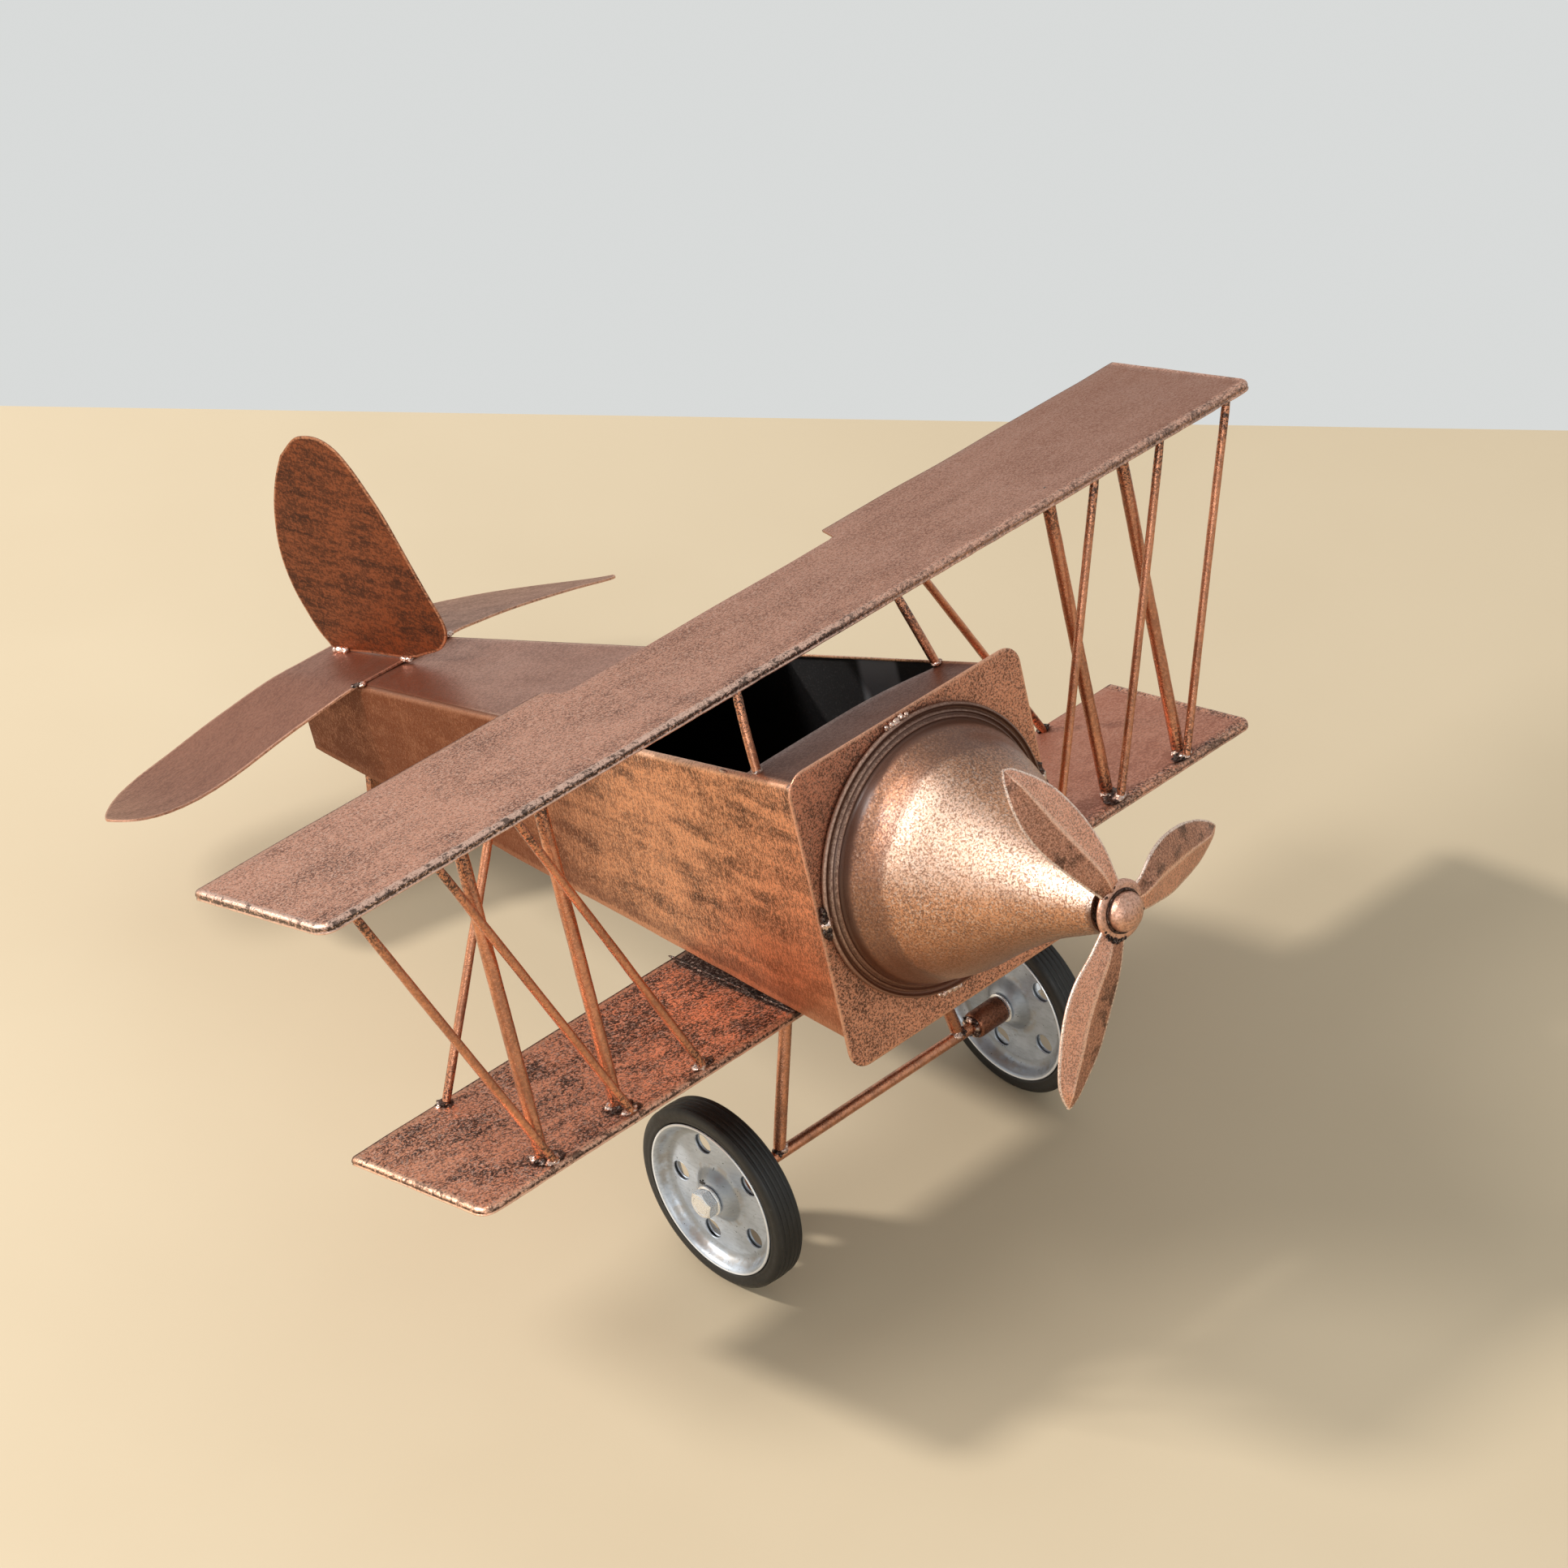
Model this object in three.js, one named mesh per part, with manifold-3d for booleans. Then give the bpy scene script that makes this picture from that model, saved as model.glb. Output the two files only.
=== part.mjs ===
// Decorative sheet-metal biplane planter, built as separate pieces.
// Millimetres, +Z up. +X is the aircraft's left wing, the nose looks along -Y.
// The airframe is drawn level and then set nose-up on its two wheels and tail skid.
import * as THREE from "three";
import { mergeVertices, mergeGeometries } from "three/addons/utils/BufferGeometryUtils.js";
import Module from "manifold-3d";

const wasm = await Module();
wasm.setup();

// ---------------------------------------------------------------- driving dimensions
const SHEET = 1.2;            // sheet thickness of the folded pieces
const GAP = 0.3;              // clearance left between touching pieces
const PITCH = 17.26;          // nose-up attitude on the ground, degrees

// fuselage box: half width, top and bottom as straight lines along y
const FUS_FRONT = -48.5, FUS_REAR = 420;
const halfWidth = (y) => 63.2 - 0.0903 * y;
const topZ = (y) => -37.2 - 0.1367 * y;
const bottomZ = (y) => -164.6 + 0.056 * y;
const BEND = 3;               // outer radius of the folded top edges
const WELL_FRONT = -4, WELL_REAR = 100;   // planter opening along the fuselage
const WELL_LIP = 2.2;         // strip of the fold left beside the opening

// nose
const PLATE_Y = -50, PLATE_HALF = 74.8, PLATE_TOP = -22.5, PLATE_BOTTOM = -179.5, PLATE_R = 11;
const NOSE_Z = -96.8;         // height of the nose cone and propeller axis
const NECK_Y = -167;          // front end of the cone neck
const HUB_Y = -171.9;         // back face of the propeller hub
const HUB_R = 14.5, HUB_T = 3.2, DOME_R = 9.5;
const BLADE_ROOT = 15.2;      // the blades bend backward at the edge of the hub
const BLADES = [              // angle from +X and backward sweep in degrees, then both edges as [radius, width]
  { name: "propeller_blade_upper", angle: 113.2, sweep: 12.7,
    plus: [[15.2, 5.4], [21.7, 6.9], [37.4, 10], [50.9, 12.1], [64.8, 12.2], [78, 9.4], [87.6, 5.4], [94.4, 0.4]],
    minus: [[15.2, -8.3], [28.1, -12.6], [39.6, -14.6], [52.6, -15.3], [67.3, -14.4], [79.4, -11], [90.4, -6.1], [95.4, -2.2]] },
  { name: "propeller_blade_side", angle: -6.8, sweep: 21.5,
    plus: [[15.2, 12.2], [25.7, 17.1], [40.2, 19.2], [58.8, 17.6], [70, 14.9], [81.3, 10.9], [94.5, 4.2], [99.2, 0.6]],
    minus: [[15.2, -5.6], [24.4, -7.4], [42.7, -10.3], [61.9, -10.6], [72, -10], [81.7, -8.8], [95.4, -4.3], [99.3, -0.9]] },
  { name: "propeller_blade_lower", angle: 233.2, sweep: -1.75,
    plus: [[15.2, 7.9], [28.7, 10.6], [47.6, 10.8], [58, 10.6], [66.7, 9.7], [84.4, 5.3], [90.4, 2.4], [93.2, 0.5]],
    minus: [[15.2, -9], [24.6, -12], [36.7, -16.6], [51.8, -18], [70.2, -14.9], [84.5, -10], [90.7, -4.6], [93.3, -1]] },
];

// wings
const UP_SPAN = 300, UP_TOP = 5.3, UP_CHORD = 99.5, UP_CHORD_MID = 85.5, UP_STEP_X = 89.2, UP_TILT = 4.1, UP_DROP = 4.9;
const LO_SPAN = 258.6, LO_TOP = -166.3, LO_CHORD = 102, LO_TILT = 1.35, LO_DROP = 4.0;
const EDGE_R = 3;             // outer radius of the turned-down leading and tip edges
const rad = THREE.MathUtils.degToRad;
const upperTop = (y) => UP_TOP - Math.tan(rad(UP_TILT)) * y;       // faces of the tilted wing sheets
const upperUnder = (y) => upperTop(y) - SHEET / Math.cos(rad(UP_TILT));
const lowerTop = (y) => LO_TOP - Math.tan(rad(LO_TILT)) * y;
const lowerUnder = (y) => lowerTop(y) - SHEET / Math.cos(rad(LO_TILT));

// struts: [x at the upper wing, x at the lower wing]
const THIN_R = 2.15, THICK_R = 3.2, REAR_R = 2.15, CABANE_R = 2.25;
const FRONT_STRUTS = { outer: [281.2, 212.3], middle: [233.4, 164.2], inner: [187.1, 119.1] };
const POSTS = { outer: [214, 11], inner: [165, 14] };
const REAR_STRUT = { topX: 118.5, topY: 92, lowX: 203, lowY: 98.3 };
const CABANE = { topX: 52, lowX: 58.5, lowY: -8.2 };

// undercarriage
const AXLE_Y = 42, AXLE_Z = -259.5, AXLE_R = 3.15, AXLE_HALF = 71.6;
const LEG_R = 3.15, LEG_LOW_X = 61.7, LEG_TOP_X = 39, LEG_TOP_Y = 32.5;
const BOSS_R = 7, BOSS_IN = 72, BOSS_OUT = 91;
const WHEEL_X = 100.3, TYRE_R = 50, TYRE_W = 16, TYRE_SEG = 36;
const BOLT_R = 4, HEAD_AF = 13, HEAD_H = 5.2;
const HOLES = 5, HOLE_R = 5, HOLE_CIRCLE = 27.5, HOLE_PHASE = 10;

// tail skid strip
const SKID_Y = 399, SKID_HALF = 10, SKID_T = 2, SKID_FOOT = 22;

// ---------------------------------------------------------------- colours
const copper = (hex = 0xb07455) =>
  new THREE.MeshStandardMaterial({ color: hex, roughness: 0.42, metalness: 0.75 });
const zinc = () => new THREE.MeshStandardMaterial({ color: 0xb9c3cf, roughness: 0.45, metalness: 0.7 });
const steel = () => new THREE.MeshStandardMaterial({ color: 0xc9ccc8, roughness: 0.3, metalness: 0.9 });
const rubber = () => new THREE.MeshStandardMaterial({ color: 0x161617, roughness: 0.7, metalness: 0 });

// ---------------------------------------------------------------- helpers
const airframe = new THREE.Group();

function add(name, geometry, material, parent = airframe) {
  const mesh = new THREE.Mesh(geometry, material);
  mesh.name = name;
  parent.add(mesh);
  return mesh;
}

function plain(geometry) {
  const g = geometry.clone();
  for (const key of Object.keys(g.attributes)) if (key !== "position") g.deleteAttribute(key);
  return mergeVertices(g, 1e-4);
}

function solid(geometry) {
  const g = plain(geometry);
  return new wasm.Manifold(new wasm.Mesh({
    numProp: 3,
    vertProperties: Float32Array.from(g.attributes.position.array),
    triVerts: Uint32Array.from(g.index.array),
  }));
}

function fromSolid(manifold) {
  const mesh = manifold.getMesh();
  const g = new THREE.BufferGeometry();
  const count = mesh.vertProperties.length / mesh.numProp;
  const position = new Float32Array(count * 3);
  for (let i = 0; i < count; i++)
    for (let k = 0; k < 3; k++) position[i * 3 + k] = mesh.vertProperties[i * mesh.numProp + k];
  g.setAttribute("position", new THREE.BufferAttribute(position, 3));
  g.setIndex(new THREE.BufferAttribute(Uint32Array.from(mesh.triVerts), 1));
  g.computeVertexNormals();
  return g;
}

// closed body through rings of equal point count; the caps are cut in the ring's own plane
function loft(rings, flat) {
  const n = rings[0].length;
  const position = [];
  for (const ring of rings) for (const p of ring) position.push(p.x, p.y, p.z);
  const index = [];
  for (let r = 0; r < rings.length - 1; r++)
    for (let i = 0; i < n; i++) {
      const a = r * n + i, b = r * n + ((i + 1) % n), c = a + n, d = b + n;
      index.push(a, b, d, a, d, c);
    }
  const cap = THREE.ShapeUtils.triangulateShape(rings[0].map(flat), []);
  const turned = THREE.ShapeUtils.isClockWise(rings[0].map(flat));
  const last = (rings.length - 1) * n;
  for (const [a, b, c] of cap) {
    if (turned) { index.push(a, b, c); index.push(last + a, last + c, last + b); }
    else { index.push(a, c, b); index.push(last + a, last + b, last + c); }
  }
  const g = new THREE.BufferGeometry();
  g.setAttribute("position", new THREE.BufferAttribute(new Float32Array(position), 3));
  g.setIndex(index);
  // turn the body right side out if its signed volume is negative
  let volume = 0;
  const P = (i) => new THREE.Vector3(position[i * 3], position[i * 3 + 1], position[i * 3 + 2]);
  for (let i = 0; i < index.length; i += 3)
    volume += P(index[i]).dot(P(index[i + 1]).cross(P(index[i + 2])));
  if (volume < 0) {
    const flipped = [];
    for (let i = 0; i < index.length; i += 3) flipped.push(index[i], index[i + 2], index[i + 1]);
    g.setIndex(flipped);
  }
  g.computeVertexNormals();
  return g;
}

// straight rod between two points, shortened at each end
function rod(name, a, b, radius, padA = 0, padB = 0, sides = 10, material = copper()) {
  const from = new THREE.Vector3(...a), to = new THREE.Vector3(...b);
  const dir = to.clone().sub(from).normalize();
  from.addScaledVector(dir, padA);
  to.addScaledVector(dir, -padB);
  const mesh = add(name, new THREE.CylinderGeometry(radius, radius, from.distanceTo(to), sides), material);
  mesh.position.copy(from).add(to).multiplyScalar(0.5);
  mesh.quaternion.setFromUnitVectors(new THREE.Vector3(0, 1, 0), dir);
  return mesh;
}

// how far a rod's end must stop short of a sheet tilted back by so many degrees
function pad(a, b, radius, tilt = 0) {
  const d = new THREE.Vector3(...b).sub(new THREE.Vector3(...a)).normalize();
  const c = Math.abs(d.y * Math.sin(rad(tilt)) + d.z * Math.cos(rad(tilt))), s = Math.sqrt(1 - c * c);
  return (radius * s + GAP + 0.05) / c;
}

function outline(points) {
  const s = new THREE.Shape();
  points.forEach(([x, y], i) => (i ? s.lineTo(x, y) : s.moveTo(x, y)));
  s.closePath();
  return s;
}

function extrude(shape, depth) {
  return new THREE.ExtrudeGeometry(shape, { depth, bevelEnabled: false, curveSegments: 8 });
}

const move = (g, x, y, z) => g.translate(x, y, z);

// turns an outline drawn in x and y into one standing in y and z, its thickness along x
const UPRIGHT = new THREE.Quaternion().setFromRotationMatrix(new THREE.Matrix4().makeBasis(
  new THREE.Vector3(0, 1, 0), new THREE.Vector3(0, 0, 1), new THREE.Vector3(1, 0, 0)));

// ---------------------------------------------------------------- fuselage
// folded sheet: two sides and the top, open below; the deck is cut away over the well
function wrapRing(y) {
  const w = halfWidth(y), t = topZ(y), b = bottomZ(y), ring = [];
  const arc = (cx, cz, r, from, to) => {
    for (let i = 0; i <= 3; i++) {
      const a = rad(from + ((to - from) * i) / 3);
      ring.push(new THREE.Vector3(cx + r * Math.cos(a), y, cz + r * Math.sin(a)));
    }
  };
  ring.push(new THREE.Vector3(-w, y, b));
  arc(-w + BEND, t - BEND, BEND, 180, 90);
  arc(w - BEND, t - BEND, BEND, 90, 0);
  ring.push(new THREE.Vector3(w, y, b), new THREE.Vector3(w - SHEET, y, b));
  arc(w - BEND, t - BEND, BEND - SHEET, 0, 90);
  arc(-w + BEND, t - BEND, BEND - SHEET, 90, 180);
  ring.push(new THREE.Vector3(-w + SHEET, y, b));
  return ring;
}
const wrap = solid(loft([wrapRing(FUS_FRONT), wrapRing(FUS_REAR)], (p) => new THREE.Vector2(p.x, p.z)));
const wellRing = (y) => {
  const w = halfWidth(y) - WELL_LIP, t = topZ(y);
  return [[-w, t - 3], [w, t - 3], [w, t + 6], [-w, t + 6]].map(([x, z]) => new THREE.Vector3(x, y, z));
};
const wellCut = solid(loft([wellRing(WELL_FRONT), wellRing(WELL_REAR)], (p) => new THREE.Vector2(p.x, p.z)));
add("fuselage_shell", fromSolid(wrap.subtract(wellCut)), copper(0xb5764f));

// flat floor between the two sides
const floorIn = (y) => halfWidth(y) - SHEET - GAP;
const floorRing = (y, back) => {
  const w = floorIn(y), b = bottomZ(y);
  return [[-w, b], [w, b], [w, b + SHEET], [-w, b + SHEET]].map(([x, z]) => new THREE.Vector3(x, y, z));
};
// it stops short of the plates at both ends, because it slopes and they don't
add("fuselage_floor", loft([floorRing(FUS_FRONT + 2), floorRing(FUS_REAR - 1)], (p) => new THREE.Vector2(p.x, p.z)), copper(0x8a5a45));

// plate closing the stern, standing on the floor between the sides
{
  const w = halfWidth(FUS_REAR) - SHEET - GAP - 0.1;
  const lo = bottomZ(FUS_REAR) + SHEET + GAP + 0.1, hi = topZ(FUS_REAR) - SHEET - GAP - 0.1;
  const s = outline([[-w, lo], [w, lo], [w, hi - 3], [w - 3, hi], [-w + 3, hi], [-w, hi - 3]]);
  const g = extrude(s, SHEET);               // drawn in x and z, its thickness along -y
  g.rotateX(Math.PI / 2);
  g.translate(0, FUS_REAR, 0);
  add("stern_plate", g, copper(0x9c6247));
}

// ---------------------------------------------------------------- nose
{
  const s = new THREE.Shape();
  const w = PLATE_HALF, h = (PLATE_TOP - PLATE_BOTTOM) / 2, r = PLATE_R;
  s.moveTo(-w + r, -h); s.lineTo(w - r, -h); s.absarc(w - r, -h + r, r, -Math.PI / 2, 0, false);
  s.lineTo(w, h - r); s.absarc(w - r, h - r, r, 0, Math.PI / 2, false);
  s.lineTo(-w + r, h); s.absarc(-w + r, h - r, r, Math.PI / 2, Math.PI, false);
  s.lineTo(-w, -h + r); s.absarc(-w + r, -h + r, r, Math.PI, 1.5 * Math.PI, false);
  const g = new THREE.ExtrudeGeometry(s, { depth: SHEET, bevelEnabled: false, curveSegments: 5 });
  const plate = add("front_plate", g, copper(0xa86c50));
  plate.rotation.x = Math.PI / 2;            // drawn face turns towards -y
  plate.position.set(0, PLATE_Y + SHEET, (PLATE_TOP + PLATE_BOTTOM) / 2);
}

// spun bell: rolled rim with raised steps, running down to a narrow neck
const conePoints = [
  [70.6, -50.4], [70.8, -52.6], [69.4, -53.8], [67.6, -53.4], [66.6, -55.4], [64.4, -57.4],
  [62.4, -58.6], [61.5, -61.5], [59, -67], [56, -75], [51.2, -85], [45, -95], [38.3, -106], [31.5, -118],
  [25.4, -130], [21.2, -140], [17.9, -150], [14.6, -160], [12.5, NECK_Y],
];
{
  const outer = conePoints.map(([r, y]) => new THREE.Vector2(r, y));
  const inner = [];
  for (let i = outer.length - 1; i >= 0; i--) {
    const a = outer[Math.max(i - 1, 0)], b = outer[Math.min(i + 1, outer.length - 1)];
    const t = b.clone().sub(a).normalize();
    const q = new THREE.Vector2(outer[i].x + t.y * SHEET, outer[i].y - t.x * SHEET);
    inner.push(q);
  }
  inner[0].y = NECK_Y;
  inner[inner.length - 1].set(69.2, -50.4);
  inner[inner.length - 2].set(69.2, -51.6);
  inner[inner.length - 3].set(68.5, -52.3);
  const profile = [...outer, ...inner, outer[0].clone()].reverse();
  const mesh = add("nose_cone", new THREE.LatheGeometry(profile, 32), copper(0xc08a62));
  mesh.position.z = NOSE_Z;
}

// turned bush plugging the neck, and the pin that carries the propeller
const ringLathe = (r0, r1, y0, y1, seg = 20) => new THREE.LatheGeometry(
  [[r0, y0], [r1, y0], [r1, y1], [r0, y1], [r0, y0]].map(([r, y]) => new THREE.Vector2(r, y)), seg);
add("neck_bush", ringLathe(2.8, 10.6, NECK_Y + 3.5, NECK_Y + 11), copper(0x6d4a3a)).position.z = NOSE_Z;

const propeller = new THREE.Group();
propeller.position.set(0, 0, NOSE_Z);
airframe.add(propeller);
{
  const tip = HUB_Y - HUB_T + 0.6;           // the pin stops inside the hub bore, behind the dome
  const pts = [[0, tip], [2.4, tip], [2.4, NECK_Y + 11.5], [4.6, NECK_Y + 11.5], [4.6, NECK_Y + 14], [0, NECK_Y + 14]];
  add("propeller_pin", new THREE.LatheGeometry(pts.map(([r, y]) => new THREE.Vector2(r, y)), 16), copper(0x5a4034), propeller);
  add("propeller_hub", ringLathe(2.75, HUB_R, HUB_Y - HUB_T, HUB_Y, 28), copper(0xb9785c), propeller);
  const dome = [];
  for (let i = 4; i >= 0; i--) {
    const a = (Math.PI / 2) * (i / 4);
    dome.push([i === 4 ? 0 : DOME_R * Math.cos(a), HUB_Y - HUB_T - GAP - 7.2 * Math.sin(a)]);
  }
  dome.push([0, HUB_Y - HUB_T - GAP]);
  add("propeller_dome", new THREE.LatheGeometry(dome.map(([r, y]) => new THREE.Vector2(r, y)), 20), copper(0xc07f62), propeller);
}
for (const { name, angle, sweep, plus, minus } of BLADES) {
  const g = extrude(outline([...minus, ...plus.slice().reverse()]), SHEET);
  g.translate(-BLADE_ROOT, 0, -SHEET / 2);
  g.rotateX(Math.PI / 2);                    // blade face looks along the axis
  const spin = new THREE.Group();
  spin.rotation.y = -rad(angle);
  spin.position.y = HUB_Y - HUB_T / 2;
  const bend = new THREE.Group();
  bend.position.x = BLADE_ROOT;
  bend.rotation.z = rad(sweep);
  const mesh = add(name, g, copper(0xb9775b), bend);
  mesh.position.x = SHEET * Math.abs(Math.sin(rad(sweep)));
  spin.add(bend);
  propeller.add(spin);
}

// ---------------------------------------------------------------- wings
// quarter circle of the turned edge, from the top round to the front
function bendPoints(inset, sign = 1, at = 0) {
  const pts = [];
  for (let i = 0; i <= 4; i++) {
    const a = rad(90 + 22.5 * i);
    pts.push([at + sign * (EDGE_R + (EDGE_R - inset) * Math.cos(a)), -EDGE_R + (EDGE_R - inset) * Math.sin(a)]);
  }
  return pts;
}
// block of the wing's outline with bent edges all along the front and both tips
function wingBlock(half, plan, inset, low) {
  const flat = extrude(outline(plan), 0 - low).translate(0, 0, low);
  const side = outline([[400, -inset], ...bendPoints(inset), [inset, low], [400, low]]);
  const across = extrude(side, 2 * half + 20);
  across.applyMatrix4(new THREE.Matrix4().makeRotationFromQuaternion(UPRIGHT)).translate(-half - 10, 0, 0);
  const face = outline([[half - inset, low], ...bendPoints(inset, -1, half).reverse(), ...bendPoints(inset, 1, -half), [-half + inset, low]]);
  const along = extrude(face, 420).rotateX(Math.PI / 2).translate(0, 400, 0);
  return solid(flat).intersect(solid(across)).intersect(solid(along));
}
// sheet with the leading edge and both tips turned down, leaning back about its leading edge
function wing(name, half, top, front, drop, tilt, corner, rear, colour) {
  const c = corner, k = 0.3 * corner;
  const plan = (d) => [[-half + d, c], [-half + d + k, k + d * 0.5], [-half + c, d], [half - c, d], [half - d - k, k + d * 0.5], [half - d, c]];
  const outer = wingBlock(half, [...plan(0), ...rear], 0, -drop);
  const far = [[half - SHEET, 300], [-half + SHEET, 300]];
  const inner = wingBlock(half, [...plan(SHEET), ...far], SHEET, -drop - 6);
  const mesh = add(name, fromSolid(outer.subtract(inner)), copper(colour));
  mesh.rotation.x = -rad(tilt);
  mesh.position.set(0, front, top);
  return mesh;
}
const s1 = UP_STEP_X;
wing("upper_wing", UP_SPAN, UP_TOP, 0, UP_DROP, UP_TILT, 8, [
  [UP_SPAN, UP_CHORD], [s1 + 2, UP_CHORD], [s1, UP_CHORD_MID + 1.5], [s1 - 2, UP_CHORD_MID],
  [-s1 + 2, UP_CHORD_MID], [-s1, UP_CHORD_MID + 1.5], [-s1 - 2, UP_CHORD], [-UP_SPAN, UP_CHORD],
], 0x9c6a55);
wing("lower_wing", LO_SPAN, LO_TOP, 0.3, LO_DROP, LO_TILT, 8, [[LO_SPAN, LO_CHORD], [-LO_SPAN, LO_CHORD]], 0xa2664a);

// ---------------------------------------------------------------- struts
for (const [side, sx] of [["left", 1], ["right", -1]]) {
  for (const [place, [ux, lx]] of Object.entries(FRONT_STRUTS)) {
    const a = [sx * lx, 4.4, lowerTop(4.4)], b = [sx * ux, 1.6, UP_TOP - UP_DROP];
    rod(`front_strut_${place}_${side}`, a, b, THIN_R, pad(a, b, THIN_R, LO_TILT), pad(a, b, THIN_R) + 0.2);
  }
  for (const [place, [x, y]] of Object.entries(POSTS)) {
    const a = [sx * x, y, lowerTop(y)], b = [sx * x, y, upperUnder(y)];
    rod(`wing_post_${place}_${side}`, a, b, THICK_R, pad(a, b, THICK_R, LO_TILT), pad(a, b, THICK_R, UP_TILT), 12);
  }
  {
    const { lowX, lowY, topX, topY } = REAR_STRUT;
    const a = [sx * lowX, lowY, lowerTop(lowY)], b = [sx * topX, topY, upperUnder(topY)];
    rod(`rear_strut_${side}`, a, b, REAR_R, pad(a, b, REAR_R, LO_TILT), pad(a, b, REAR_R, UP_TILT));
  }
  {
    const a = [sx * CABANE.lowX, CABANE.lowY, topZ(CABANE.lowY)], b = [sx * CABANE.topX, 1.6, UP_TOP - UP_DROP];
    rod(`cabane_strut_${side}`, a, b, CABANE_R, 1.6, pad(a, b, CABANE_R) + 0.2);
  }
  {
    const a = [sx * LEG_LOW_X, AXLE_Y, AXLE_Z], b = [sx * LEG_TOP_X, LEG_TOP_Y, lowerUnder(LEG_TOP_Y)];
    rod(`gear_leg_${side}`, a, b, LEG_R, 4.6, pad(a, b, LEG_R, LO_TILT), 12);
  }
}

// ---------------------------------------------------------------- axle and wheels
rod("axle_rod", [-AXLE_HALF, AXLE_Y, AXLE_Z], [AXLE_HALF, AXLE_Y, AXLE_Z], AXLE_R, 0, 0, 12);

// one half of the wheel: pressed disc with a raised hub and a rim lip; a is along the axle
const discMid = [[5.9, 7.1], [8.4, 6.7], [13.4, 3.2], [17.2, 1.5], [34.6, 1.5], [37.8, 3.8], [39.6, 7.0], [41.1, 7.9]];
function discGeometry() {
  const mid = discMid.map(([r, a]) => new THREE.Vector2(r, a));
  const over = [], under = [];
  mid.forEach((p, i) => {
    const t = mid[Math.min(i + 1, mid.length - 1)].clone().sub(mid[Math.max(i - 1, 0)]).normalize();
    over.push(new THREE.Vector2(p.x - t.y * 0.45, p.y + t.x * 0.45));
    under.push(new THREE.Vector2(p.x + t.y * 0.45, p.y - t.x * 0.45));
  });
  const profile = [...under, ...over.reverse(), under[0].clone()];
  let body = solid(new THREE.LatheGeometry(profile, 24));
  for (let i = 0; i < HOLES; i++) {
    const a = rad(HOLE_PHASE + (360 / HOLES) * i);
    const drill = new THREE.CylinderGeometry(HOLE_R, HOLE_R, 8, 10);
    drill.translate(HOLE_CIRCLE * Math.cos(a), 1.2, HOLE_CIRCLE * Math.sin(a));
    body = body.subtract(solid(drill));
  }
  return fromSolid(body);
}
const tyreProfile = [[40.0, -5.2], [41.5, -7.0], [42.3, -TYRE_W / 2], [46.6, -TYRE_W / 2], [48.8, -7.0], [TYRE_R, -5.0],
  [TYRE_R, 5.0], [48.8, 7.0], [46.6, TYRE_W / 2], [42.3, TYRE_W / 2], [41.5, 7.0], [40.0, 5.2], [40.0, -5.2]];

for (const [side, sx] of [["left", 1], ["right", -1]]) {
  const wheel = new THREE.Group();           // local y runs outward along the axle
  wheel.position.set(sx * WHEEL_X, AXLE_Y, AXLE_Z);
  wheel.rotation.z = sx > 0 ? -Math.PI / 2 : Math.PI / 2;
  airframe.add(wheel);

  const tyre = add(`tyre_${side}`, new THREE.LatheGeometry(tyreProfile.map(([r, a]) => new THREE.Vector2(r, a)), TYRE_SEG), rubber(), wheel);
  // one flat of the tread faces straight down once the airframe is pitched
  tyre.rotation.y = rad(180 / TYRE_SEG + sx * PITCH);
  add(`wheel_disc_outer_${side}`, discGeometry(), zinc(), wheel);
  const back = add(`wheel_disc_inner_${side}`, discGeometry(), zinc(), wheel);
  back.rotation.x = Math.PI;                 // turned over, its holes fall behind the outer ones
  back.rotation.y = 0;
  add(`hub_bush_${side}`, ringLathe(4.35, 5.2, -7.5, 7.5, 20), zinc(), wheel);
  add(`washer_outer_${side}`, ringLathe(4.35, 8, 7.8, 9.1, 20), steel(), wheel);
  add(`washer_inner_${side}`, ringLathe(4.35, 8, -9.0, -7.8, 20), steel(), wheel);

  // bolt: hex head outside, shank running through the wheel into the boss
  const head = new THREE.CylinderGeometry(HEAD_AF / 2 / Math.cos(Math.PI / 6), HEAD_AF / 2 / Math.cos(Math.PI / 6), HEAD_H, 6);
  head.translate(0, 9.3 + HEAD_H / 2, 0);
  const shank = new THREE.CylinderGeometry(BOLT_R, BOLT_R, 23, 16);
  shank.translate(0, 9.5 - 23 / 2, 0);
  add(`axle_bolt_${side}`, fromSolid(solid(head).add(solid(shank))), steel(), wheel);

  // boss welded on the end of the axle rod, bored for the bolt
  const boss = [[0, BOSS_IN - WHEEL_X], [BOSS_R, BOSS_IN - WHEEL_X], [BOSS_R, BOSS_OUT - WHEEL_X], [4.35, BOSS_OUT - WHEEL_X],
    [4.35, BOSS_IN + 12.0 - WHEEL_X], [0, BOSS_IN + 12.0 - WHEEL_X]];
  add(`axle_boss_${side}`, new THREE.LatheGeometry(boss.map(([r, a]) => new THREE.Vector2(r, a)), 20), copper(0x8d5b45), wheel);
}

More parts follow.
